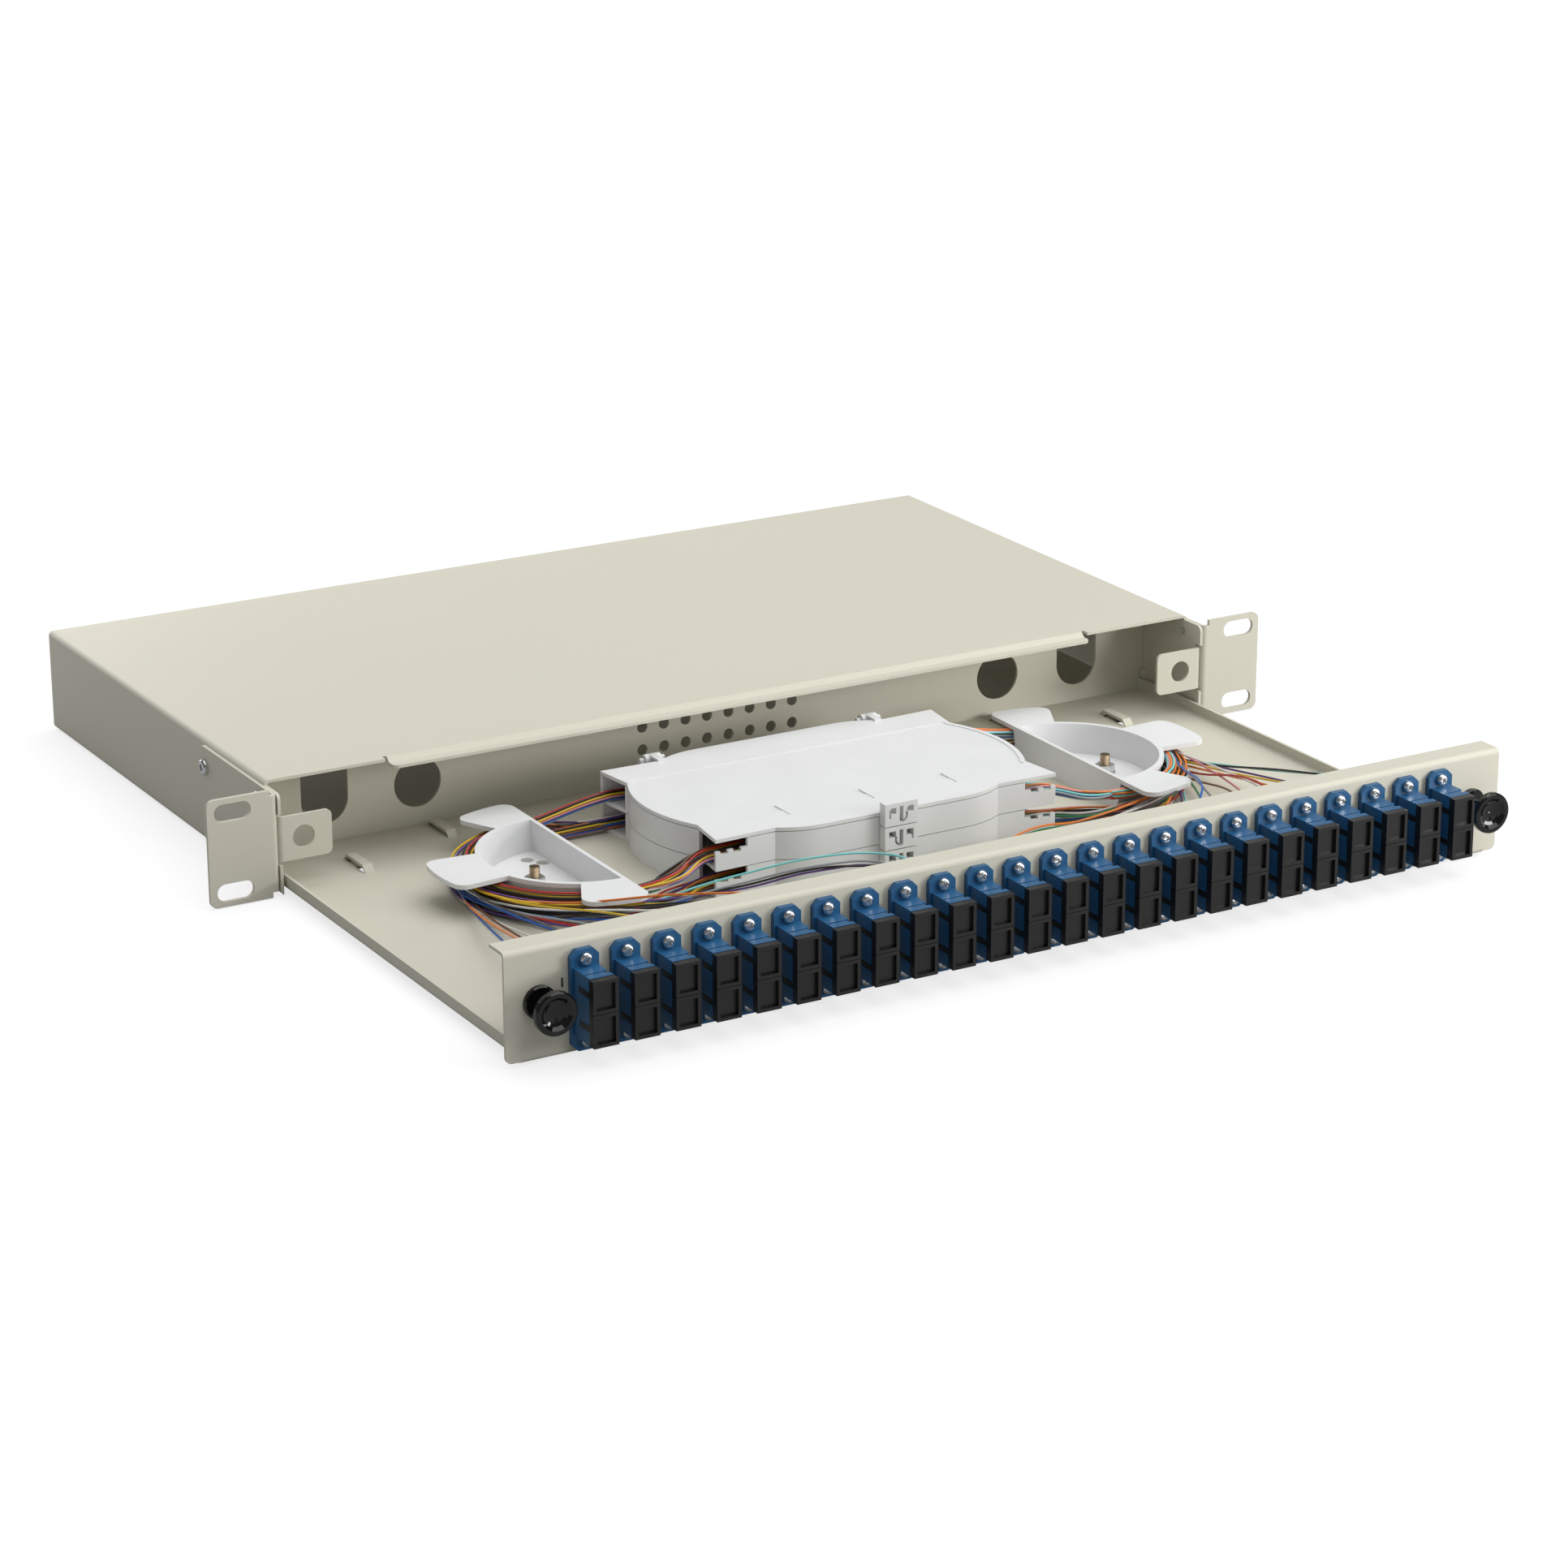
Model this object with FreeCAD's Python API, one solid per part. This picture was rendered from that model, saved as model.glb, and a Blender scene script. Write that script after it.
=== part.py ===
import FreeCAD, Part
import math
import os
from FreeCAD import Matrix, Vector

# Sliding fibre splice and patch box for 19 inch racks, one height unit.
# X runs along the rack, Y to the rear, Z up, sizes in millimetres.
# The origin is the middle of the four rack slots, on the rear face of the ears.
# The drawer stands pulled out to its stop.

# Rack interface
SLOT_OUT = 18.4
SLOT_RISE = 31.75
SLOT_WIDE = 7.0
SLOT_LONG = 15.0
EAR_EDGE = 10.4
EAR_HIGH = 43.0
EAR_SHEET = 1.5
EAR_LEG = 71.0
EAR_CORNER = 3.0
EAR_STEP = 2.2
EAR_SCREW_D = 3.0
EAR_SCREW_HEAD_D = 6.4
EAR_SCREW_HEAD = 1.9
EAR_SCREW_FRONT = 13.0
EAR_SCREW_REAR = 66.0
EAR_SCREW_TOP = 14.2
EAR_SCREW_TOP_REAR = 11.2
EAR_SCREW_LOW = -10.5
EAR_SCREW_TIP = 1.6

# Housing sleeve
SHEET = 1.2
BEND = 0.8
HOUSING_W = 425.0
HOUSING_H = 42.6
HOUSING_D = 235.0
COVER_SETBACK = 12.2
WALL_DROP = 2.0
SEAM = 0.4
LIP_SET = 52.1
LIP_OUT = 4.7
LIP_DROP = 1.8
LIP_RUN = 2.0
LIP_CORNER = 2.5
LIP_NOTCH = 1.6
TAB_SET = 0.8
TAB_IN = 21.0
TAB_HIGH = 17.9
TAB_RELIEF = 1.2
TAB_CORNER = 2.5
STOP_OUT = 3.0
STOP_HIGH = 3.0
STOP_GAP = 0.3

# Drawer
TRAVEL = 193.0
PANEL_GAP = 0.3
FLOOR_GAP = 0.3
SIDE_GAP = 1.3
TRAY_RIM = 5.8
TRAY_DEEP = 233.6
REAR_TOP_GAP = 0.8
RIM_GAP = 0.4
TRAY_FRONT_GAP = 0.2
PANEL_OVER = 2.7
PANEL_TOP = 21.0
PANEL_FLANGE = 11.0
PANEL_FOOT = 8.0
PANEL_WING_RISE = 0.9
PANEL_CORNER = 2.5
WALL_HOLE_D = 20.4
WALL_HOLE_IN = 77.0
WALL_SLOT_IN = 37.0
WALL_SLOT_W = 20.0
WALL_CUT_LOW = 7.2
VENT_D = 4.7
VENT_PITCH = 10.0
VENT_COLUMNS = 8
VENT_ROW_LOW = 13.6
VENT_ROW_PITCH = 9.7
BRIDGE_W = 4.0
BRIDGE_L = 20.0
BRIDGE_RISE = 2.6
BRIDGE_SLOPE = 2.6
BRIDGE_OUTER_IN = 36.8
BRIDGE_OUTER_REAR = 31.0
BRIDGE_INNER_IN = 81.8
BRIDGE_INNER_REAR = 11.2

# Push-pull latches
LATCH_IN = 10.5
LATCH_Z = 0.8
LATCH_BORE = 9.0
LATCH_STEM_D = 8.3
LATCH_HOLE_GAP = 0.15
LATCH_COLLAR_D = 12.4
LATCH_COLLAR = 1.8
LATCH_LEGS = 7.5
LATCH_SPLIT = 1.0
PLUNGER_D = 5.0
PLUNGER_GAP = 0.1
PLUNGER_PULL = 6.0
HEAD_D = 16.2
HEAD_OUT = 14.0
HEAD_RIM = 2.6
HEAD_BACK = 2.0
HEAD_DISH = 2.2
HEAD_LIP = 2.3

# Duplex couplers
COUPLERS = 24
COUPLER_END = 27.35
COUPLER_Z = -1.0
FLANGE_W = 11.0
FLANGE_H = 37.4
FLANGE_T = 2.3
FLANGE_CUT = 2.4
SCREW_RISE = 15.2
SCREW_D = 2.2
SCREW_GAP = 0.1
SCREW_HEAD_D = 4.6
SCREW_HEAD = 1.9
SCREW_L = 8.0
HEAD_SIDES = 12
SHANK_SIDES = 8
BODY_W = 9.3
BODY_H = 25.0
BODY_FRONT = 12.0
BODY_REAR = 12.5
BODY_GAP = 0.2
BODY_WALL = 1.0
PORT_RISE = 12.4
PORT_H = 9.6
MID_WALL = 8.0
SLEEVE_D = 2.5
SLEEVE_BORE = 1.3
SLEEVE_GAP = 0.05
SCREW_NUT_AF = 4.0
SCREW_NUT_H = 1.6
KEY_H = 2.4
KEY_L = 8.0
CAP_FRAME_W = 9.8
CAP_FRAME_H = 12.2
CAP_FRAME_T = 3.2
CAP_RECESS = 1.4
CAP_EDGE = 1.3
CAP_PLUG_GAP = 0.15
CAP_PLUG_L = 7.0

# Rear plugs and boots
PLUG_GAP = 0.15
PLUG_IN = 8.0
PLUG_OUT = 6.0
BOOT_L = 18.0
BOOT_D0 = 5.0
BOOT_D1 = 2.6

# Half-moon fibre guides
GUIDE_CHORD_X = 111.0
GUIDE_D = 143.8
GUIDE_R = 39.5
GUIDE_R_LOW = 36.8
GUIDE_WALL = 1.6
GUIDE_H = 13.6
GUIDE_WING_R = 59.5
GUIDE_WING_T = 1.8
GUIDE_SIDE_HALF = 15.4
GUIDE_END_WING = 26.5
GUIDE_ROOT = 0.82
GUIDE_CORNER = 5.0
GUIDE_STUD_OUT = 19.0
GUIDE_HOLE_D = 5.2
GUIDE_HOLE_1 = (8.5, 27.0)
GUIDE_HOLE_2 = (4.6, 21.5)
STUD_D = 4.0
STUD_GAP = 0.1
STUD_L = 10.8
NUT_AF = 7.0
NUT_H = 3.0
WASHER_D = 9.0
WASHER_T = 0.8

# Splice trays and lid
STACK_D = 145.5
PORT_X = 76.3
PORT_Y = 46.3
PORT_NECK_X = 74.0
PORT_NECK_Y = 28.0
BULGE_X = 81.0
SHOULDER_X = 50.0
SHOULDER_Y = 45.5
BELLY_X = 32.0
BELLY_Y = 51.0
TRAY_WALL = 1.5
TRAY_BASE = 1.3
TRAY_H = 11.0
TRAY_SEAT = 0.3
PORT_POST = 1.6
PORT_CUT = 3.3
PORT_CUT_L = 14.0
PORT_NOTCH = 3.4
PORT_NOTCH_DEEP = 1.3
PORT_NOTCH_IN = 3.8
PORT_NOTCH_PITCH = 5.7
CORE_X = 38.0
CORE_R = 20.0
CORE_WALL = 1.4
CORE_H = 7.6
COMB_SLOTS = 12
COMB_PITCH = 3.2
COMB_RIB = 0.8
COMB_L = 36.0
COMB_H = 6.4
COMB_BASE = 1.2
SPLICE_D = 2.2
SPLICE_L = 45.0
SPLICE_REST = 0.1
SPLICE_LAYERS = 2
LID_T = 1.5
LID_BAND = 30.0
LID_BAND_DEEP = 0.3
LID_RIB_L = 12.0
HOOK_X = 50.0
HOOK_W = 7.0
HOOK_ARM = 3.0
HOOK_REACH = 5.2
HOOK_PIN_D = 2.4
HOOK_PIN_GAP = 0.15
HOOK_R = 2.4
HOOK_FREE = 0.5
LATCH_PLATE_W = 14.6
LATCH_PLATE_T = 4.0
LATCH_PLATE_GAP = 0.4
LATCH_PLATE_OFF = 0.3
LATCH_PLATE_UP = 4.4
RIVET_D = 4.0
RIVET_HEAD_D = 8.0
RIVET_HEAD = 1.2
RIVET_X = 66.0

# Fibre bundles
BUNDLE_D = 3.6
BUNDLE_LIFT = 0.3
BUNDLE_CLEAR = 0.8
BUNDLE_TURNS = 7
TRUNK_END = -45.0

# Places worked out from the sizes
Y_FRONT = -EAR_SHEET
X_WALL = HOUSING_W / 2.0
X_WALL_IN = X_WALL - SHEET
SLOT_SPAN = HOUSING_W + 2.0 * SLOT_OUT
EAR_SPAN = SLOT_SPAN + 2.0 * EAR_EDGE
PANEL_W = HOUSING_W + 2.0 * PANEL_OVER
LIP_HALF = X_WALL - LIP_SET
WALL_HOLE_X = X_WALL - WALL_HOLE_IN
WALL_SLOT_X = X_WALL - WALL_SLOT_IN
BRIDGE_OUTER_X = X_WALL - BRIDGE_OUTER_IN
BRIDGE_INNER_X = X_WALL - BRIDGE_INNER_IN
LATCH_X = X_WALL - LATCH_IN
COUPLER_PITCH = (HOUSING_W - 2.0 * COUPLER_END) / (COUPLERS - 1)
Z_TOP = HOUSING_H / 2.0
Z_BASE = -Z_TOP
TRAY_HALF = X_WALL_IN - SIDE_GAP
Z_FLOOR_LOW = Z_BASE + SHEET + FLOOR_GAP
Z_FLOOR = Z_FLOOR_LOW + SHEET
Y_PANEL = Y_FRONT - PANEL_GAP - TRAVEL
Y_PANEL_FRONT = Y_PANEL - SHEET
Y_REAR_WALL = Y_PANEL + TRAY_DEEP
Y_STACK = Y_PANEL + STACK_D
Y_GUIDE = Y_PANEL + GUIDE_D
Z_GUIDE_TOP = Z_FLOOR + GUIDE_H
FIRST_COUPLER_X = -COUPLER_PITCH * (COUPLERS - 1) / 2.0
Z_TRAY_LOWER = Z_FLOOR
Z_TRAY_UPPER = Z_TRAY_LOWER + TRAY_H + TRAY_SEAT
Z_LID = Z_TRAY_UPPER + TRAY_H + TRAY_SEAT
STACK_HINGE_Y = Y_STACK + BELLY_Y + 1.6


# Small helpers

def box(x0, x1, y0, y1, z0, z1):
    return Part.makeBox(x1 - x0, y1 - y0, z1 - z0, Vector(x0, y0, z0))


def rod(r, length, at, axis):
    return Part.makeCylinder(r, length, Vector(*at), Vector(*axis))


def wire_face(points):
    return Part.Face(Part.makePolygon([Vector(*p) for p in points + points[:1]]))


def ring_points(r, sides, y):
    step = 2.0 * math.pi / sides
    return [(r * math.cos(step * (n + 0.5)), y, r * math.sin(step * (n + 0.5))) for n in range(sides)]


def facet_turning(stations, sides):
    """Turned piece along +Y with flat facets, for small things that repeat many times."""
    wires = []
    for r, y in stations:
        points = ring_points(r, sides, y)
        wires.append(Part.makePolygon([Vector(*p) for p in points + points[:1]]))
    return Part.makeLoft(wires, True, True)


def fuse_all(shapes):
    whole = shapes[0].multiFuse(shapes[1:]) if len(shapes) > 1 else shapes[0]
    return whole.removeSplitter()


def mirror_x(shape):
    return shape.mirror(Vector(0, 0, 0), Vector(1, 0, 0))


def edges_along(shape, axis, test):
    picked = []
    for edge in shape.Edges:
        if len(edge.Vertexes) != 2 or edge.Curve.TypeId != "Part::GeomLine":
            continue
        a = edge.Vertexes[0].Point
        b = edge.Vertexes[1].Point
        d = (b - a).normalize()
        if abs(abs(d.dot(Vector(*axis))) - 1.0) < 1e-6 and test((a + b) * 0.5, edge.Length):
            picked.append(edge)
    return picked


def rounded(shape, radius, axis, test):
    return shape.makeFillet(radius, edges_along(shape, axis, test))


def save(name, shape):
    solids = shape.Solids
    for solid in solids:
        if not solid.isValid() or solid.Volume <= 0:
            raise RuntimeError(name + " is not a valid solid")
    out = solids[0] if len(solids) == 1 else Part.makeCompound(solids)
    out.exportStep(os.path.join("parts", name + ".step"))
    print(name, len(solids), "solids", round(out.Volume / 1000.0, 2), "cm3")


# Housing

def sleeve_profile(inset, radius):
    x = X_WALL - inset
    z = Z_TOP - inset
    block = box(-x, x, Y_FRONT, Y_FRONT + HOUSING_D, -z, z)
    return rounded(block, radius, (0, 1, 0), lambda m, length: True)


def latch_tab():
    y0 = Y_FRONT + TAB_SET
    x1 = X_WALL
    x0 = X_WALL_IN - TAB_IN
    reach = SHEET + BEND + TAB_SET
    outline = [(x0, y0), (x1, y0), (x1, y0 + reach), (x1 - SHEET, y0 + reach)]
    outline += [(x1 - SHEET, y0 + SHEET), (x0, y0 + SHEET)]
    z0 = LATCH_Z - TAB_HIGH / 2.0
    face = wire_face([(x, y, z0) for x, y in outline])
    tab = face.extrude(Vector(0, 0, TAB_HIGH))
    tab = rounded(tab, SHEET + BEND, (0, 0, 1), lambda m, length: m.x > x1 - 0.1 and m.y < y0 + 0.1)
    tab = rounded(tab, BEND, (0, 0, 1), lambda m, length: abs(m.x - x1 + SHEET) < 0.1 and m.y < y0 + SHEET + 0.1)
    tab = rounded(tab, TAB_CORNER, (0, 1, 0), lambda m, length: m.x < x0 + 0.1)
    hole = rod(LATCH_BORE / 2.0, SHEET + 2.0, (LATCH_X, y0 - 1.0, LATCH_Z), (0, 1, 0))
    return tab.cut(hole)


def joggled_lip():
    y_cover = Y_FRONT + COVER_SETBACK
    low = Z_TOP - LIP_DROP
    side = [
        (y_cover + LIP_RUN, Z_TOP),
        (y_cover, low),
        (y_cover - LIP_OUT, low),
        (y_cover - LIP_OUT, low - SHEET),
        (y_cover + SHEET * 0.5, low - SHEET),
        (y_cover + LIP_RUN + SHEET * 0.5, Z_TOP - SHEET),
        (y_cover + LIP_RUN + SHEET * 2.0, Z_TOP - SHEET),
        (y_cover + LIP_RUN + SHEET * 2.0, Z_TOP),
    ]
    face = wire_face([(-LIP_HALF, y, z) for y, z in side])
    lip = face.extrude(Vector(2.0 * LIP_HALF, 0, 0))
    front = y_cover - LIP_OUT
    return rounded(lip, LIP_CORNER, (0, 0, 1), lambda m, length: m.y < front + 0.1)


def stop_lug():
    y1 = Y_REAR_WALL - STOP_GAP
    z0 = Z_FLOOR_LOW + TRAY_RIM + 1.5
    return box(X_WALL_IN - STOP_OUT, X_WALL - SHEET * 0.5, y1 - SHEET, y1, z0, z0 + STOP_HIGH)


def ear_screw_places():
    places = []
    for y, z in [
        (EAR_SCREW_FRONT, EAR_SCREW_TOP),
        (EAR_SCREW_FRONT, EAR_SCREW_LOW),
        (EAR_SCREW_REAR, EAR_SCREW_TOP_REAR),
    ]:
        places.append((Y_FRONT + y, z))
    return places


def housing_shell():
    shell = sleeve_profile(0.0, SHEET + BEND).cut(sleeve_profile(SHEET, BEND))
    y_cover = Y_FRONT + COVER_SETBACK
    past = X_WALL + 1.0
    z_wall = Z_TOP - WALL_DROP
    shell = shell.cut(box(-past, past, Y_FRONT - 1.0, y_cover, z_wall, Z_TOP + 1.0))
    inner = X_WALL_IN
    shell = shell.cut(box(-inner, inner, Y_FRONT - 1.0, y_cover, Z_BASE - 1.0, Z_BASE + SHEET + BEND))
    front = Y_FRONT + 0.1
    shell = rounded(shell, LIP_CORNER, (1, 0, 0), lambda m, length: m.y < front)
    shell = shell.cut(box(-SEAM / 2.0, SEAM / 2.0, Y_FRONT, Y_FRONT + HOUSING_D, Z_BASE - 1.0, Z_BASE + SHEET + 0.1))
    lip_clear = LIP_HALF + LIP_NOTCH
    y_notch = y_cover + LIP_RUN + SHEET
    shell = shell.cut(box(-lip_clear, lip_clear, y_cover - 1.0, y_notch, Z_TOP - SHEET - 0.1, Z_TOP + 1.0))
    parts = [shell, joggled_lip()]
    tab_clear = TAB_HIGH / 2.0 + TAB_RELIEF
    tab_back = Y_FRONT + TAB_SET + SHEET + BEND + TAB_SET
    for side in (1, -1):
        x0, x1 = sorted((side * (X_WALL_IN - 1.0), side * (X_WALL + 1.0)))
        slot = box(x0, x1, Y_FRONT - 1.0, tab_back, LATCH_Z - tab_clear, LATCH_Z + tab_clear)
        parts[0] = parts[0].cut(slot)
        tab = latch_tab()
        lug = stop_lug()
        parts += [tab, lug] if side > 0 else [mirror_x(tab), mirror_x(lug)]
    shell = fuse_all(parts)
    holes = []
    for y, z in ear_screw_places():
        holes.append(rod(EAR_SCREW_D / 2.0, HOUSING_W + 4.0, (-X_WALL - 2.0, y, z), (1, 0, 0)))
    return shell.cut(Part.makeCompound(holes))


# Ears and their screws

def slot_cut(x, z):
    half = (SLOT_LONG - SLOT_WIDE) / 2.0
    r = SLOT_WIDE / 2.0
    y = Y_FRONT - 1.0
    deep = EAR_SHEET + 2.0
    bar = box(x - half, x + half, y, y + deep, z - r, z + r)
    ends = [rod(r, deep, (x + s * half, y, z), (0, 1, 0)) for s in (-1, 1)]
    return bar.multiFuse(ends)


def ear_right():
    x_out = EAR_SPAN / 2.0
    x_leg = X_WALL
    bend = EAR_SHEET + BEND
    outline = [
        (x_leg, Y_FRONT),
        (x_out, Y_FRONT),
        (x_out, Y_FRONT + EAR_SHEET),
        (x_leg + EAR_SHEET, Y_FRONT + EAR_SHEET),
        (x_leg + EAR_SHEET, Y_FRONT + EAR_LEG),
        (x_leg, Y_FRONT + EAR_LEG),
    ]
    half = EAR_HIGH / 2.0
    ear = wire_face([(x, y, -half) for x, y in outline]).extrude(Vector(0, 0, EAR_HIGH))
    ear = rounded(ear, bend, (0, 0, 1), lambda m, length: m.x < x_leg + 0.1 and m.y < Y_FRONT + 0.1)
    inner = lambda m, length: abs(m.x - x_leg - EAR_SHEET) < 0.1 and m.y < Y_FRONT + EAR_SHEET + 0.1
    ear = rounded(ear, BEND, (0, 0, 1), inner)
    x_step = PANEL_W / 2.0 + 0.6
    top = half - EAR_STEP
    for z0, z1 in ((top, half + 1.0), (-half - 1.0, -top)):
        ear = ear.cut(box(x_leg - 1.0, x_step, Y_FRONT - 1.0, Y_FRONT + EAR_LEG + 1.0, z0, z1))
    ear = rounded(ear, EAR_CORNER, (0, 1, 0), lambda m, length: m.x > x_out - 0.1)
    rear = Y_FRONT + EAR_LEG - 0.1
    ear = rounded(ear, EAR_CORNER, (1, 0, 0), lambda m, length: m.y > rear)
    cuts = [slot_cut(SLOT_SPAN / 2.0, s * SLOT_RISE / 2.0) for s in (-1, 1)]
    for y, z in ear_screw_places():
        cuts.append(rod(EAR_SCREW_D / 2.0 + SCREW_GAP, 6.0, (x_leg - 2.0, y, z), (1, 0, 0)))
    return ear.cut(Part.makeCompound(cuts))


def pan_screw(d, head_d, head, length):
    """Pan head screw with its head seat at the origin and its shank along +Y."""
    r = head_d / 2.0
    dome = [(r * 0.55, -head), (r * 0.88, -head * 0.7), (r, -head * 0.3), (r, 0.0)]
    shank = facet_turning([(d / 2.0, -head * 0.3), (d / 2.0, length)], SHANK_SIDES)
    return facet_turning(dome, HEAD_SIDES).fuse(shank).removeSplitter()


def ear_screws():
    flush = EAR_SHEET + SHEET
    screws = []
    for index, (y, z) in enumerate(ear_screw_places()):
        tip = EAR_SCREW_TIP if index == 0 else 0.0
        screw = pan_screw(EAR_SCREW_D - 2.0 * SCREW_GAP, EAR_SCREW_HEAD_D, EAR_SCREW_HEAD, flush + tip)
        screw.rotate(Vector(0, 0, 0), Vector(0, 0, 1), 90)
        screw.translate(Vector(X_WALL + EAR_SHEET, y, z))
        screws += [screw, mirror_x(screw)]
    return Part.makeCompound(screws)


# Drawer tray and front panel

def tie_bridge(x, from_rear):
    """Strip raised out of the floor over its own slot."""
    y0 = Y_REAR_WALL - from_rear - BRIDGE_L / 2.0
    y1 = y0 + BRIDGE_L
    low = Z_FLOOR_LOW
    up = low + BRIDGE_RISE
    s = BRIDGE_SLOPE
    side = [
        (y0, low),
        (y0 + s, up),
        (y1 - s, up),
        (y1, low),
        (y1, low + SHEET),
        (y1 - s, up + SHEET),
        (y0 + s, up + SHEET),
        (y0, low + SHEET),
    ]
    half = BRIDGE_W / 2.0
    strip = wire_face([(x - half, y, z) for y, z in side]).extrude(Vector(BRIDGE_W, 0, 0))
    slot = box(x - half, x + half, y0, y1, low - 0.1, low + SHEET + 0.1)
    return slot, strip


def bridge_places():
    places = []
    for s in (-1, 1):
        places.append((s * BRIDGE_OUTER_X, BRIDGE_OUTER_REAR))
        places.append((s * BRIDGE_INNER_X, BRIDGE_INNER_REAR))
    return places


def rear_wall_cuts():
    y = Y_REAR_WALL - 1.0
    deep = SHEET + 2.0
    cuts = []
    for s in (-1, 1):
        z_hole = Z_FLOOR + WALL_CUT_LOW + WALL_HOLE_D / 2.0
        cuts.append(rod(WALL_HOLE_D / 2.0, deep, (s * WALL_HOLE_X, y, z_hole), (0, 1, 0)))
        r = WALL_SLOT_W / 2.0
        z_slot = Z_FLOOR + WALL_CUT_LOW + r
        x = s * WALL_SLOT_X
        round_end = rod(r, deep, (x, y, z_slot), (0, 1, 0))
        cuts.append(round_end.fuse(box(x - r, x + r, y, y + deep, z_slot, Z_TOP + 1.0)))
    for row in (0, 1):
        z = Z_FLOOR + VENT_ROW_LOW + row * VENT_ROW_PITCH
        for column in range(VENT_COLUMNS):
            x = (column - (VENT_COLUMNS - 1) / 2.0) * VENT_PITCH
            cuts.append(rod(VENT_D / 2.0, deep, (x, y, z), (0, 1, 0)))
    return Part.makeCompound(cuts)


def drawer_tray():
    z0 = Z_FLOOR_LOW
    half = TRAY_HALF
    y0 = Y_PANEL + BEND + TRAY_FRONT_GAP
    y1 = Y_REAR_WALL + SHEET
    outline = [
        (-half, z0),
        (half, z0),
        (half, z0 + TRAY_RIM),
        (half - SHEET, z0 + TRAY_RIM),
        (half - SHEET, z0 + SHEET),
        (-half + SHEET, z0 + SHEET),
        (-half + SHEET, z0 + TRAY_RIM),
        (-half, z0 + TRAY_RIM),
    ]
    tray = wire_face([(x, y0, z) for x, z in outline]).extrude(Vector(0, y1 - y0, 0))
    tray = rounded(tray, SHEET + BEND, (0, 1, 0), lambda m, length: m.z < z0 + 0.1)
    tray = rounded(tray, BEND, (0, 1, 0), lambda m, length: abs(m.z - z0 - SHEET) < 0.1)
    strips = []
    for x, from_rear in bridge_places():
        slot, strip = tie_bridge(x, from_rear)
        tray = tray.cut(slot)
        strips.append(strip)
    tray = fuse_all([tray] + strips)
    holes = []
    for s in (-1, 1):
        x = s * (GUIDE_CHORD_X + GUIDE_STUD_OUT)
        holes.append(rod(STUD_D / 2.0 + STUD_GAP, SHEET + 2.0, (x, Y_GUIDE, z0 - 1.0), (0, 0, 1)))
        holes.append(rod(RIVET_D / 2.0 + STUD_GAP, SHEET + 2.0, (s * RIVET_X, Y_STACK, z0 - 1.0), (0, 0, 1)))
    return tray.cut(Part.makeCompound(holes))


def drawer_rear_wall():
    """Plate that stands on the tray's floor, narrower between the side rims than above them."""
    z_rear = Z_TOP - SHEET - REAR_TOP_GAP
    z_rim = Z_FLOOR_LOW + TRAY_RIM + RIM_GAP
    y0 = Y_REAR_WALL
    y1 = Y_REAR_WALL + SHEET
    inner = TRAY_HALF - SHEET - BEND - RIM_GAP
    wall = box(-inner, inner, y0, y1, Z_FLOOR, z_rear)
    upper = box(-TRAY_HALF, TRAY_HALF, y0, y1, z_rim, z_rear)
    return fuse_all([wall, upper]).cut(rear_wall_cuts())


def coupler_xs():
    return [FIRST_COUPLER_X + COUPLER_PITCH * n for n in range(COUPLERS)]


def bent_strip(half, points, edge_y, lower):
    """Sheet with one round bend, drawn from the side and as wide as twice the half."""
    strip = wire_face([(-half, y, z) for y, z in points]).extrude(Vector(2.0 * half, 0, 0))
    inner_y = edge_y + SHEET
    here = (lambda m: m.z < 0) if lower else (lambda m: m.z > 0)
    strip = rounded(strip, SHEET + BEND, (1, 0, 0), lambda m, length: m.y < edge_y + 0.1 and abs(m.z) > 1.0)
    inner = lambda m, length: abs(m.y - inner_y) < 0.1 and abs(m.z) > 1.0 and here(m)
    return rounded(strip, BEND, (1, 0, 0), inner)


def front_panel():
    half = PANEL_W / 2.0
    foot_half = TRAY_HALF - 0.6
    z_low = Z_FLOOR_LOW - SHEET
    yf = Y_PANEL_FRONT
    yb = yf + SHEET
    y_top = yf + PANEL_FLANGE
    y_foot = yf + PANEL_FOOT
    z_in = PANEL_TOP - SHEET
    head = [(yf, 0), (yf, PANEL_TOP), (y_top, PANEL_TOP), (y_top, z_in), (yb, z_in), (yb, 0)]
    z_up = z_low + SHEET
    foot = [(yf, 0), (yf, z_low), (y_foot, z_low), (y_foot, z_up), (yb, z_up), (yb, 0)]
    wings = box(-half, half, yf, yb, z_low + PANEL_WING_RISE, 0)
    wings = rounded(wings, PANEL_CORNER, (0, 1, 0), lambda m, length: m.z < -1.0)
    middle = foot_half - 0.1
    wings = wings.cut(box(-middle, middle, yf - 1.0, yb + 1.0, z_low - 1.0, 1.0))
    pieces = [bent_strip(half, head, yf, False), bent_strip(foot_half, foot, yf, True), wings]
    panel = fuse_all(pieces)
    cuts = []
    y = yf - 1.0
    deep = SHEET + 2.0
    w = BODY_W / 2.0 + BODY_GAP
    h = BODY_H / 2.0 + BODY_GAP
    for x in coupler_xs():
        cuts.append(box(x - w, x + w, y, y + deep, COUPLER_Z - h, COUPLER_Z + h))
        for s in (-1, 1):
            at = (x, y, COUPLER_Z + s * SCREW_RISE)
            cuts.append(rod(SCREW_D / 2.0 + SCREW_GAP, deep, at, (0, 1, 0)))
    for s in (-1, 1):
        at = (s * LATCH_X, y, LATCH_Z)
        cuts.append(rod(LATCH_STEM_D / 2.0 + LATCH_HOLE_GAP, deep, at, (0, 1, 0)))
    return panel.cut(Part.makeCompound(cuts))


# Latch sleeve and plunger

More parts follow.
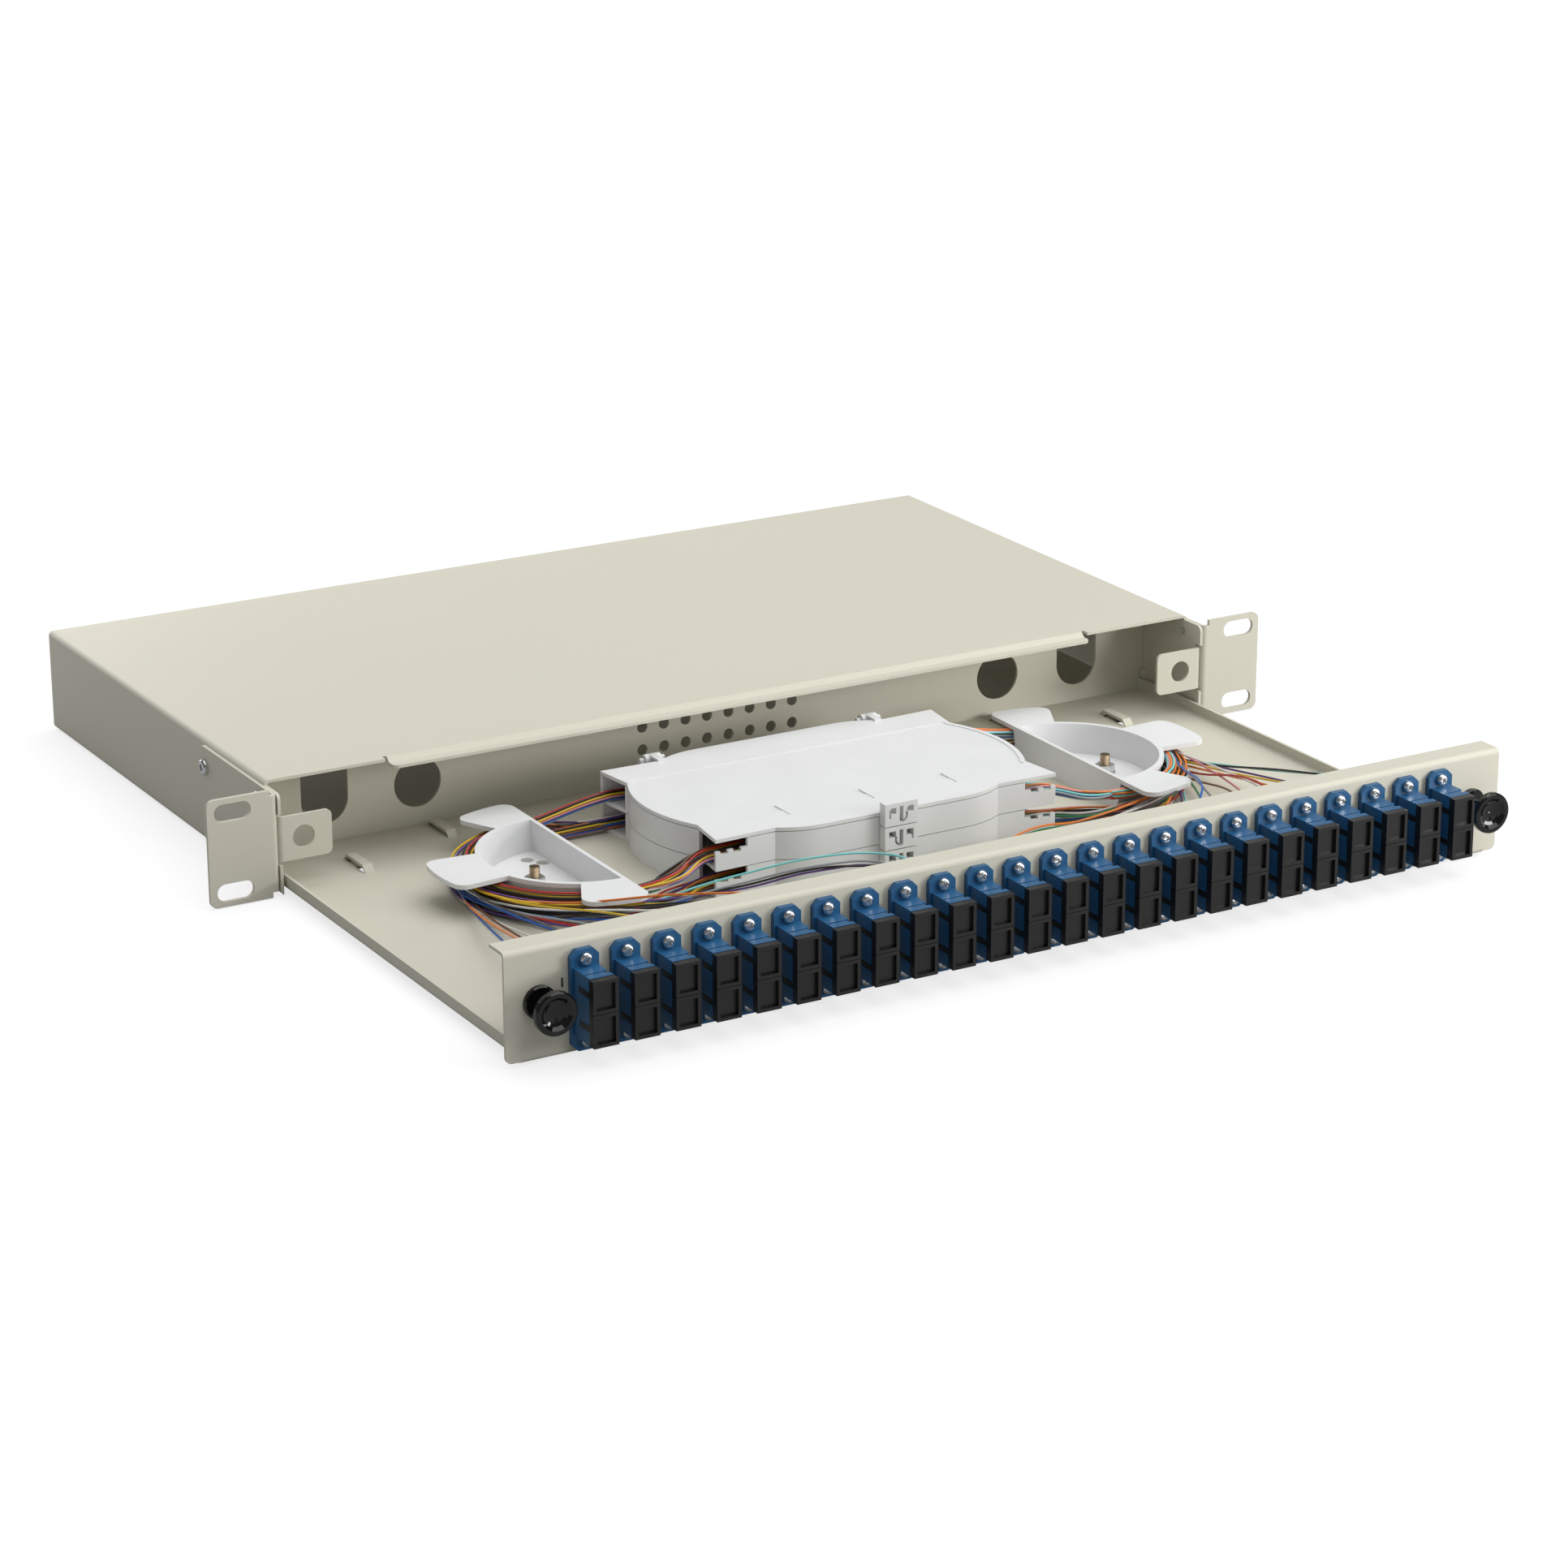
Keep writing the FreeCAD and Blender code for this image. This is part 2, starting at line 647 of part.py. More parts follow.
def latch_grommet(side):
    x = side * LATCH_X
    y0 = Y_PANEL_FRONT
    collar = rod(LATCH_COLLAR_D / 2.0, LATCH_COLLAR, (x, y0 - LATCH_COLLAR, LATCH_Z), (0, 1, 0))
    collar = collar.makeChamfer(0.5, [e for e in collar.Edges if e.BoundBox.YMax < y0 - LATCH_COLLAR + 0.1])
    stem = rod(LATCH_STEM_D / 2.0, SHEET + LATCH_LEGS, (x, y0, LATCH_Z), (0, 1, 0))
    tip = y0 + SHEET + LATCH_LEGS
    stem = stem.makeChamfer(1.0, [e for e in stem.Edges if e.BoundBox.YMin > tip - 0.1])
    body = collar.fuse(stem)
    through = LATCH_COLLAR + SHEET + LATCH_LEGS + 2.0
    bore = rod(PLUNGER_D / 2.0 + PLUNGER_GAP, through, (x, y0 - LATCH_COLLAR - 1.0, LATCH_Z), (0, 1, 0))
    body = body.cut(bore)
    w = LATCH_SPLIT / 2.0
    y_split = y0 + SHEET + 0.6
    r = LATCH_STEM_D
    cross = [
        box(x - w, x + w, y_split, tip + 1.0, LATCH_Z - r, LATCH_Z + r),
        box(x - r, x + r, y_split, tip + 1.0, LATCH_Z - w, LATCH_Z + w),
    ]
    return body.cut(Part.makeCompound(cross)).removeSplitter()


def latch_plunger(side):
    r = HEAD_D / 2.0
    face = -HEAD_OUT
    back = face + HEAD_RIM + HEAD_BACK
    pin = PLUNGER_D / 2.0
    tip = SHEET + LATCH_LEGS - PLUNGER_PULL
    profile = [
        (0, face + HEAD_DISH, 0),
        (r * 0.25, face + HEAD_DISH * 0.94, 0),
        (r * 0.45, face + HEAD_DISH * 0.78, 0),
        (r * 0.6, face + HEAD_DISH * 0.56, 0),
        (r - HEAD_LIP, face + 0.3, 0),
        (r - HEAD_LIP + 0.3, face, 0),
        (r - 0.6, face, 0),
        (r - 0.15, face + 0.35, 0),
        (r, face + 0.9, 0),
        (r, face + HEAD_RIM, 0),
        (r * 0.72, back - 0.4, 0),
        (pin + 1.2, back, 0),
        (pin, back + 1.6, 0),
        (pin, tip - 1.0, 0),
        (pin - 1.0, tip, 0),
        (0, tip, 0),
    ]
    knob = wire_face(profile).revolve(Vector(0, 0, 0), Vector(0, 1, 0), 360)
    knob.translate(Vector(side * LATCH_X, Y_PANEL_FRONT, LATCH_Z))
    return knob


# Duplex couplers with their screws and dust caps

def port_zs():
    return [COUPLER_Z + s * PORT_RISE / 2.0 for s in (1, -1)]


def adapter(x):
    yf = Y_PANEL_FRONT
    hw = FLANGE_W / 2.0
    hh = FLANGE_H / 2.0
    flange = box(x - hw, x + hw, yf - FLANGE_T, yf, COUPLER_Z - hh, COUPLER_Z + hh)
    corner = [e for e in edges_along(flange, (0, 1, 0), lambda m, length: True)]
    flange = flange.makeChamfer(FLANGE_CUT, corner)
    bw = BODY_W / 2.0
    bh = BODY_H / 2.0
    y0 = yf - FLANGE_T - BODY_FRONT
    y1 = Y_PANEL + BODY_REAR
    body = box(x - bw, x + bw, y0, y1, COUPLER_Z - bh, COUPLER_Z + bh)
    groove_y = y0 + BODY_FRONT * 0.3
    groove = box(x - bw, x + bw, groove_y, groove_y + 0.8, COUPLER_Z + bh - 0.5, COUPLER_Z + bh + 1.0)
    notch = box(x + bw - 1.6, x + bw + 1.0, y0 + 2.2, y0 + 5.0, COUPLER_Z + bh - 1.0, COUPLER_Z + bh + 1.0)
    whole = flange.fuse(body)
    cuts = [groove, notch]
    pw = bw - BODY_WALL
    ph = PORT_H / 2.0
    middle = (y0 + y1) / 2.0
    for z in port_zs():
        cuts.append(box(x - pw, x + pw, y0 - 1.0, middle - MID_WALL / 2.0, z - ph, z + ph))
        cuts.append(box(x - pw, x + pw, middle + MID_WALL / 2.0, y1 + 1.0, z - ph, z + ph))
        cuts.append(rod(SLEEVE_D / 2.0 + SLEEVE_GAP, y1 - y0, (x, y0, z), (0, 1, 0)))
        k = KEY_H / 2.0
        cuts.append(box(x - bw - 1.0, x - pw + 0.1, y0 - 1.0, y0 + KEY_L, z - k, z + k))
    for s in (-1, 1):
        at = (x, yf - FLANGE_T - 1.0, COUPLER_Z + s * SCREW_RISE)
        cuts.append(rod(SCREW_D / 2.0 + SCREW_GAP, FLANGE_T + 2.0, at, (0, 1, 0)))
    return whole.cut(Part.makeCompound(cuts)).removeSplitter()


def adapter_sleeves():
    shapes = []
    middle = (Y_PANEL_FRONT - FLANGE_T - BODY_FRONT + Y_PANEL + BODY_REAR) / 2.0
    for x in coupler_xs():
        for z in port_zs():
            ends = (-MID_WALL / 2.0, MID_WALL / 2.0)
            outer = facet_turning([(SLEEVE_D / 2.0, y) for y in ends], SHANK_SIDES)
            inner = facet_turning([(SLEEVE_BORE / 2.0, y) for y in ends], SHANK_SIDES)
            tube = outer.cut(inner)
            tube.translate(Vector(x, middle, z))
            shapes.append(tube)
    return Part.makeCompound(shapes)


def adapter_nuts():
    shapes = []
    hexagon = facet_turning([(SCREW_NUT_AF / math.sqrt(3.0), y) for y in (0.0, SCREW_NUT_H)], 6)
    r = (SCREW_D / 2.0 + SCREW_GAP) / math.cos(math.pi / SHANK_SIDES)
    bore = facet_turning([(r, y) for y in (-1.0, SCREW_NUT_H + 1.0)], SHANK_SIDES)
    blank = hexagon.cut(bore)
    for x in coupler_xs():
        for s in (-1, 1):
            nut = blank.copy()
            nut.translate(Vector(x, Y_PANEL, COUPLER_Z + s * SCREW_RISE))
            shapes.append(nut)
    return Part.makeCompound(shapes)


def adapter_screws():
    screws = []
    for x in coupler_xs():
        for s in (-1, 1):
            screw = pan_screw(SCREW_D, SCREW_HEAD_D, SCREW_HEAD, SCREW_L)
            screw.translate(Vector(x, Y_PANEL_FRONT - FLANGE_T, COUPLER_Z + s * SCREW_RISE))
            screws.append(screw)
    return Part.makeCompound(screws)


def dust_cap(x, z):
    y1 = Y_PANEL_FRONT - FLANGE_T - BODY_FRONT
    y0 = y1 - CAP_FRAME_T
    hw = CAP_FRAME_W / 2.0
    hh = CAP_FRAME_H / 2.0
    frame = box(x - hw, x + hw, y0, y1, z - hh, z + hh)
    e = CAP_EDGE
    recess = box(x - hw + e, x + hw - e, y0 - 1.0, y0 + CAP_RECESS, z - hh + e, z + hh - e)
    pw = BODY_W / 2.0 - BODY_WALL - CAP_PLUG_GAP
    ph = PORT_H / 2.0 - CAP_PLUG_GAP
    plug = box(x - pw, x + pw, y1 - 0.1, y1 + CAP_PLUG_L, z - ph, z + ph)
    k = KEY_H / 2.0 - CAP_PLUG_GAP
    tongue = box(x - BODY_W / 2.0, x, y1 - 0.1, y1 + KEY_L - 0.4, z - k, z + k)
    return frame.cut(recess).multiFuse([plug, tongue]).removeSplitter()


def dust_caps(z):
    return Part.makeCompound([dust_cap(x, z) for x in coupler_xs()])


# Plugs behind the panel

def plugs():
    shapes = []
    y_end = Y_PANEL + BODY_REAR
    pw = BODY_W / 2.0 - BODY_WALL - PLUG_GAP
    ph = PORT_H / 2.0 - PLUG_GAP
    for x in coupler_xs():
        for z in port_zs():
            shapes.append(box(x - pw, x + pw, y_end - PLUG_IN, y_end + PLUG_OUT, z - ph, z + ph))
    return Part.makeCompound(shapes)


def boots():
    shapes = []
    y0 = Y_PANEL + BODY_REAR + PLUG_OUT
    for x in coupler_xs():
        for z in port_zs():
            boot = facet_turning([(BOOT_D0 / 2.0, 0.0), (BOOT_D1 / 2.0, BOOT_L)], SHANK_SIDES)
            boot.translate(Vector(x, y0, z))
            shapes.append(boot)
    return Part.makeCompound(shapes)


# Half-moon fibre guides

def half_cone(r0, r1, height, z, chord):
    cone = Part.makeCone(r0, r1, height, Vector(0, 0, z))
    reach = max(r0, r1) + 1.0
    return cone.common(box(chord, reach, -reach, reach, z, z + height))


def wing_sector(a0, a1, z):
    r = GUIDE_WING_R
    p0 = (r * math.cos(a0), r * math.sin(a0), z)
    p1 = (r * math.cos(a1), r * math.sin(a1), z)
    am = (a0 + a1) / 2.0
    pm = (r * math.cos(am), r * math.sin(am), z)
    arc = Part.Arc(Vector(*p0), Vector(*pm), Vector(*p1)).toShape()
    line0 = Part.makeLine(Vector(0, 0, z), Vector(*p0))
    line1 = Part.makeLine(Vector(*p1), Vector(0, 0, z))
    return Part.Face(Part.Wire([line0, arc, line1])).extrude(Vector(0, 0, GUIDE_WING_T))


def side_wing(a, z):
    """Side wing, hardly narrower at its root than at its end."""
    r = GUIDE_WING_R
    x1 = r * math.cos(a)
    y1 = r * math.sin(a)
    x0 = GUIDE_R * 0.6
    y0 = y1 * GUIDE_ROOT
    arc = Part.Arc(Vector(x1, -y1, z), Vector(r, 0, z), Vector(x1, y1, z)).toShape()
    back = Part.makePolygon([Vector(x1, y1, z), Vector(x0, y0, z), Vector(x0, -y0, z), Vector(x1, -y1, z)])
    return Part.Face(Part.Wire([arc] + back.Edges)).extrude(Vector(0, 0, GUIDE_WING_T))


def fibre_guide():
    """Guide on the right, with the flat side at X = 0 and its middle at Y = 0."""
    z_plate = GUIDE_H - GUIDE_WING_T
    quarter = math.pi / 2.0
    side = math.radians(GUIDE_SIDE_HALF)
    end = math.radians(GUIDE_END_WING)
    disc = half_cone(GUIDE_R, GUIDE_R + 0.001, GUIDE_WING_T, z_plate, 0.0)
    wings = [
        wing_sector(quarter - end, quarter, z_plate),
        side_wing(side, z_plate),
        wing_sector(-quarter, -quarter + end, z_plate),
    ]
    plate = fuse_all([disc] + wings)
    plate = rounded(plate, GUIDE_CORNER, (0, 0, 1), lambda m, length: True)
    bowl = half_cone(GUIDE_R_LOW, GUIDE_R, GUIDE_H, 0.0, 0.0)
    low = GUIDE_R_LOW - GUIDE_WALL
    hollow = half_cone(low, GUIDE_R - GUIDE_WALL, GUIDE_H, GUIDE_WALL, GUIDE_WALL)
    guide = plate.fuse(bowl).cut(hollow).removeSplitter()
    cuts = [rod(STUD_D / 2.0 + STUD_GAP, GUIDE_WALL + 2.0, (GUIDE_STUD_OUT, 0, -1.0), (0, 0, 1))]
    for u, v in (GUIDE_HOLE_1, GUIDE_HOLE_2):
        cuts.append(rod(GUIDE_HOLE_D / 2.0, GUIDE_WALL + 2.0, (u, v, -1.0), (0, 0, 1)))
    return guide.cut(Part.makeCompound(cuts))


def fibre_guide_right():
    guide = fibre_guide()
    guide.translate(Vector(GUIDE_CHORD_X, Y_GUIDE, Z_FLOOR))
    return guide


def stud_places():
    x = GUIDE_CHORD_X + GUIDE_STUD_OUT
    return [(-x, Y_GUIDE), (x, Y_GUIDE)]


def guide_studs():
    shapes = [rod(STUD_D / 2.0, STUD_L, (x, y, Z_FLOOR_LOW), (0, 0, 1)) for x, y in stud_places()]
    return Part.makeCompound(shapes)


def guide_washers():
    z = Z_FLOOR + GUIDE_WALL
    shapes = []
    for x, y in stud_places():
        disc = rod(WASHER_D / 2.0, WASHER_T, (x, y, z), (0, 0, 1))
        shapes.append(disc.cut(rod(STUD_D / 2.0 + STUD_GAP, 4.0, (x, y, z - 1.0), (0, 0, 1))))
    return Part.makeCompound(shapes)


def guide_nuts():
    z = Z_FLOOR + GUIDE_WALL + WASHER_T
    r = NUT_AF / math.sqrt(3.0)
    shapes = []
    for x, y in stud_places():
        points = []
        for n in range(6):
            a = math.radians(60.0 * n + 30.0)
            points.append((x + r * math.cos(a), y + r * math.sin(a), z))
        nut = wire_face(points).extrude(Vector(0, 0, NUT_H))
        shapes.append(nut.cut(rod(STUD_D / 2.0 + STUD_GAP / 2.0, 8.0, (x, y, z - 1.0), (0, 0, 1))))
    return Part.makeCompound(shapes)


# Splice trays and lid

def quarter_edges(sx, sy):
    """Outline of one quarter, from the middle of the long side to the bulge."""
    def at(x, y):
        return Vector(sx * x, sy * y, 0)
    run = SHOULDER_X - BELLY_X
    rise = BELLY_Y - SHOULDER_Y
    r = (run * run + rise * rise) / (2.0 * rise)
    a = math.asin(run / r) / 2.0
    mid = at(BELLY_X + r * math.sin(a), BELLY_Y - r + r * math.cos(a))
    return [
        Part.makeLine(at(0, BELLY_Y), at(BELLY_X, BELLY_Y)),
        Part.Arc(at(BELLY_X, BELLY_Y), mid, at(SHOULDER_X, SHOULDER_Y)).toShape(),
        Part.makeLine(at(SHOULDER_X, SHOULDER_Y), at(PORT_X, PORT_Y)),
        Part.makeLine(at(PORT_X, PORT_Y), at(PORT_NECK_X, PORT_NECK_Y)),
    ]


def stack_outline():
    edges = []
    for sx in (1, -1):
        for sy in (1, -1):
            edges += quarter_edges(sx, sy)
        ends = [Vector(sx * PORT_NECK_X, s * PORT_NECK_Y, 0) for s in (1, -1)]
        edges.append(Part.Arc(ends[0], Vector(sx * BULGE_X, 0, 0), ends[1]).toShape())
    return Part.Wire(Part.__sortEdges__(edges))


def stack_slab(inset, z, height):
    wire = stack_outline()
    if inset:
        wire = wire.makeOffset2D(-inset)
    slab = Part.Face(wire).extrude(Vector(0, 0, height))
    slab.translate(Vector(0, 0, z))
    return slab


def bend_core(side):
    """Open half ring that the fibre turns round."""
    outer = rod(CORE_R, CORE_H, (side * CORE_X, 0, 0), (0, 0, 1))
    inner = rod(CORE_R - CORE_WALL, CORE_H, (side * CORE_X, 0, 0), (0, 0, 1))
    ring = outer.cut(inner)
    x0, x1 = sorted((side * (CORE_X - 6.0), side * (CORE_X + CORE_R + 1.0)))
    return ring.common(box(x0, x1, -CORE_R - 1.0, CORE_R + 1.0, 0, CORE_H))


def port_openings():
    cuts = []
    for sx in (1, -1):
        for sy in (1, -1):
            y0, y1 = sorted((sy * (PORT_NECK_Y + PORT_POST), sy * (PORT_Y - PORT_POST)))
            x0, x1 = sorted((sx * (PORT_NECK_X - 4.0), sx * (PORT_X + 2.0)))
            cuts.append(box(x0, x1, y0, y1, TRAY_BASE, TRAY_H + 1.0))
        y0 = -PORT_Y - 2.0
        y1 = -SHOULDER_Y + 3.0
        z1 = TRAY_H - PORT_CUT
        x0, x1 = sorted((sx * (PORT_X - PORT_CUT_L), sx * (PORT_X + 2.0)))
        cuts.append(box(x0, x1, y0, y1, z1, TRAY_H + 1.0))
        for k in (0, 1):
            xm = sx * (PORT_X - PORT_NOTCH_IN - PORT_NOTCH_PITCH * k)
            half = PORT_NOTCH / 2.0
            cuts.append(box(xm - half, xm + half, y0, y1, z1 - PORT_NOTCH_DEEP, z1 + 1.0))
    return Part.makeCompound(cuts)


def hinge_pins():
    """Two posts with pins behind the rear edge, for the level above."""
    shapes = []
    y = STACK_HINGE_Y - Y_STACK
    z = TRAY_H + TRAY_SEAT
    r = HOOK_PIN_D / 2.0
    for sx in (1, -1):
        x0, x1 = sorted((sx * (HOOK_X - HOOK_W / 2.0 - 2.0), sx * (HOOK_X + HOOK_W / 2.0 + 2.0)))
        shapes.append(rod(r, x1 - x0, (x0, y, z), (1, 0, 0)))
        for xa in (x0, x1 - 1.6):
            shapes.append(box(xa, xa + 1.6, SHOULDER_Y - 1.0, y + r, z - 4.0, z - HOOK_FREE))
            shapes.append(box(xa, xa + 1.6, y - r, y + r, z - 4.0, z + r * 0.5))
    return shapes


def hinge_hooks(z_axis, reach_in):
    """Clip barrels on arms that hold the pins of the level below."""
    shapes = []
    y = STACK_HINGE_Y - Y_STACK
    bore = HOOK_PIN_D / 2.0 + HOOK_PIN_GAP
    for sx in (1, -1):
        x0 = sx * HOOK_X - HOOK_W / 2.0
        barrel = rod(HOOK_R, HOOK_W, (x0, y, z_axis), (1, 0, 0))
        xm = sx * HOOK_X
        half = HOOK_ARM / 2.0
        arm = box(xm - half, xm + half, reach_in, y, z_axis + bore, z_axis + HOOK_R)
        hook = barrel.fuse(arm)
        hook = hook.cut(rod(bore, HOOK_W + 2.0, (x0 - 1.0, y, z_axis), (1, 0, 0)))
        gap = box(x0 - 1.0, x0 + HOOK_W + 1.0, y - bore * 0.8, y + bore * 0.8, z_axis - HOOK_R - 1.0, z_axis)
        shapes.append(hook.cut(gap))
    return shapes


def hook_slot(side, y0, y1, z, z_end, r):
    """Curved slot below one side of a clip plate, a quarter ring and its straight end."""
    ring = rod(r, y1 - y0, (0, y0, z), (0, 1, 0))
    ring = ring.cut(rod(r * 0.68, y1 - y0 + 2.0, (0, y0 - 1.0, z), (0, 1, 0)))
    x0, x1 = sorted((0.0, side * (r + 1.0)))
    return ring.common(box(x0, x1, y0, y1, z - r - 1.0, z_end))


def latch_plate(level, z0, web_low, web_high):
    """Front clip plate, one of three, for the level whose underside is at z0."""
    rise = (Z_LID + LID_T + LATCH_PLATE_UP - Z_FLOOR) / 3.0
    low = rise * level + LATCH_PLATE_GAP / 2.0 + Z_FLOOR - z0
    if level == 0:
        low = 0.0
    high = rise * (level + 1) - LATCH_PLATE_GAP / 2.0 + Z_FLOOR - z0
    half = LATCH_PLATE_W / 2.0
    y1 = -BELLY_Y - LATCH_PLATE_OFF
    y0 = y1 - LATCH_PLATE_T
    plate = box(-half, half, y0, y1, low, high)
    h = high - low
    side = -1 if level == 1 else 1
    cuts = [box(-0.85, 0.85, y0 - 1.0, y1 + 1.0, low + h * 0.14, high - h * 0.17)]
    for s in (-1, 1):
        x0, x1 = sorted((s * half * 0.32, s * half * 0.75))
        cuts.append(box(x0, x1, y0 - 1.0, y1 + 1.0, high - h * 0.47, high - h * 0.2))
    x2, x3 = sorted((-side * half * 0.64, -side * half * 0.75))
    cuts.append(box(x2, x3, y0 - 1.0, y1 + 1.0, high - h * 0.66, high - h * 0.4))
    cuts.append(hook_slot(side, y0 - 1.0, y1 + 1.0, low + h * 0.42, high - h * 0.45, h * 0.32))
    web = box(-half, half, y1 - 0.1, y1 + LATCH_PLATE_OFF + 0.2, web_low, web_high)
    return plate.cut(Part.makeCompound(cuts)).fuse(web)


def splice_tray(upper):
    outer = stack_slab(0.0, 0.0, TRAY_H)
    hollow = stack_slab(TRAY_WALL, TRAY_BASE, TRAY_H)
    tray = outer.cut(hollow).cut(port_openings())
    level = 1 if upper else 0
    z0 = Z_TRAY_UPPER if upper else Z_TRAY_LOWER
    parts = [tray, latch_plate(level, z0, 0.0, TRAY_BASE)]
    parts += [bend_core(s) for s in (-1, 1)]
    parts += hinge_pins()
    if upper:
        parts += hinge_hooks(0.0, SHOULDER_Y - 1.0)
    tray = fuse_all(parts)
    if not upper:
        holes = [rod(RIVET_D / 2.0 + STUD_GAP, 6.0, (s * RIVET_X, 0, -1.0), (0, 0, 1)) for s in (-1, 1)]
        tray = tray.cut(Part.makeCompound(holes))
    tray.translate(Vector(0, Y_STACK, z0))
    return tray


def splice_lid():
    slab = stack_slab(0.0, 0.0, LID_T)
    band_y = LID_BAND
    x = PORT_NECK_X + 20.0
    band = stack_slab(2.0, LID_T - LID_BAND_DEEP, 2.0).common(box(-x, x, -band_y, band_y, 0, LID_T + 2.0))
    slab = slab.cut(band)
    parts = [slab]
    for n in (-1, 0, 1):
        xm = n * LID_BAND * 1.25
        parts.append(box(xm - 0.4, xm + 0.4, -band_y - LID_RIB_L / 2.0, -band_y + LID_RIB_L / 2.0, 0.2, LID_T + 0.3))
    parts.append(latch_plate(2, Z_LID, 0.0, LID_T - LID_BAND_DEEP))
    parts += hinge_hooks(0.0, SHOULDER_Y - 1.0)
    lid = fuse_all(parts)
    lid.translate(Vector(0, Y_STACK, Z_LID))
    return lid


def splice_comb():
    """Slotted block, open at the top, that grips the splice sleeves."""
    count = COMB_SLOTS
    half = (count * COMB_PITCH + COMB_RIB) / 2.0
    points = [(-half, 0), (half, 0)]
    for n in range(count, -1, -1):
        y = -half + n * COMB_PITCH
        points += [(y + COMB_RIB, COMB_H), (y, COMB_H)]
        if n:
            points += [(y, COMB_BASE), (y - COMB_PITCH + COMB_RIB, COMB_BASE)]
    face = wire_face([(-COMB_L / 2.0, y, z) for y, z in points])
    return face.extrude(Vector(COMB_L, 0, 0))


def comb_at(z):
    comb = splice_comb()
    comb.translate(Vector(0, Y_STACK, z + TRAY_BASE))
    return comb


def protectors_at(z):
    shapes = []
    z_comb = z + TRAY_BASE + COMB_BASE
    for n in range(COMB_SLOTS):
        y = (n - (COMB_SLOTS - 1) / 2.0) * COMB_PITCH
        for layer in range(SPLICE_LAYERS):
            rise = SPLICE_REST + SPLICE_D / 2.0 + layer * (SPLICE_D + SPLICE_REST)
            at = (-SPLICE_L / 2.0, Y_STACK + y, z_comb + rise)
            shapes.append(rod(SPLICE_D / 2.0, SPLICE_L, at, (1, 0, 0)))
    return Part.makeCompound(shapes)


def tray_rivets():
    shapes = []
    for s in (-1, 1):
        x = s * RIVET_X
        head = rod(RIVET_HEAD_D / 2.0, RIVET_HEAD, (x, Y_STACK, Z_FLOOR + TRAY_BASE), (0, 0, 1))
        shank = rod(RIVET_D / 2.0, SHEET + TRAY_BASE, (x, Y_STACK, Z_FLOOR_LOW), (0, 0, 1))
        shapes.append(head.fuse(shank).removeSplitter())
    return Part.makeCompound(shapes)


# Fibre bundles

def bundle_path(points):
    """Straight runs joined by tangent arcs, each as large as its two runs allow."""
    corners = []
    for n in range(1, len(points) - 1):
        back = (points[n - 1] - points[n])
        ahead = (points[n + 1] - points[n])
        shorter = min(back.Length, ahead.Length)
        back.normalize()
        ahead.normalize()
        turn = math.pi - back.getAngle(ahead)
        reach = 0.45 * shorter
        middle = (back + ahead).normalize()
        r = reach / math.tan(turn / 2.0)
        hub = points[n] + middle * (r / math.cos(turn / 2.0))
        top = hub - middle * r
        corners.append((points[n] + back * reach, top, points[n] + ahead * reach))
    edges = []
    start = points[0]
    for first, top, last in corners:
        edges.append(Part.makeLine(start, first))
        edges.append(Part.Arc(first, top, last).toShape())
        start = last
    edges.append(Part.makeLine(start, points[-1]))
    return Part.Wire(edges)


def bundle(points):
    path = bundle_path(points)
    start = points[0]
    ring = Part.Wire(Part.makeCircle(BUNDLE_D / 2.0, start, points[1] - start))
    return path.makePipeShell([ring], True, False)


def round_guide(r, z, start, ends, last):
    """Route from one point, round the outside of the right guide, to the others."""
    points = [Vector(*start)]
    for n in range(BUNDLE_TURNS):
        a = math.radians(90.0 - (90.0 - last) * n / (BUNDLE_TURNS - 1.0))
        x = GUIDE_CHORD_X + r * math.cos(a)
        points.append(Vector(x, Y_GUIDE + r * math.sin(a), z))
    return points + [Vector(*p) for p in ends]


def fibre_bundles():
    """Three bundles round the right guide: one loop for each tray and the couplers' own."""
    x_port = PORT_X + 0.8
    y_port = (PORT_NECK_Y + PORT_Y) / 2.0
    rear = Y_STACK + y_port
    front = Y_STACK - y_port
    z_low = Z_FLOOR + BUNDLE_D / 2.0 + BUNDLE_LIFT
    z_high = z_low + BUNDLE_D + BUNDLE_LIFT
    z_port = Z_FLOOR + TRAY_BASE + BUNDLE_D / 2.0 + BUNDLE_LIFT
    z_upper = Z_TRAY_UPPER + TRAY_BASE + BUNDLE_D / 2.0 + BUNDLE_LIFT
    inner = GUIDE_R + BUNDLE_D / 2.0 + BUNDLE_CLEAR
    outer = inner + BUNDLE_D + BUNDLE_CLEAR
    side = BUNDLE_D * 1.1
    low_ends = [(x_port + 16.0, front - 5.0, z_low), (x_port, front, z_port)]
    high_ends = [(x_port + 14.0, front - 2.0, z_upper - 3.5), (x_port, front, z_upper)]
    lower = round_guide(inner, z_low, (x_port, rear - side, z_port), low_ends, -90.0)
    upper = round_guide(inner, z_high, (x_port, rear, z_upper), high_ends, -90.0)
    trunk = round_guide(outer, z_low, (x_port, rear + side, z_port), [], TRUNK_END)
    return Part.makeCompound([bundle(route) for route in (lower, upper, trunk)])


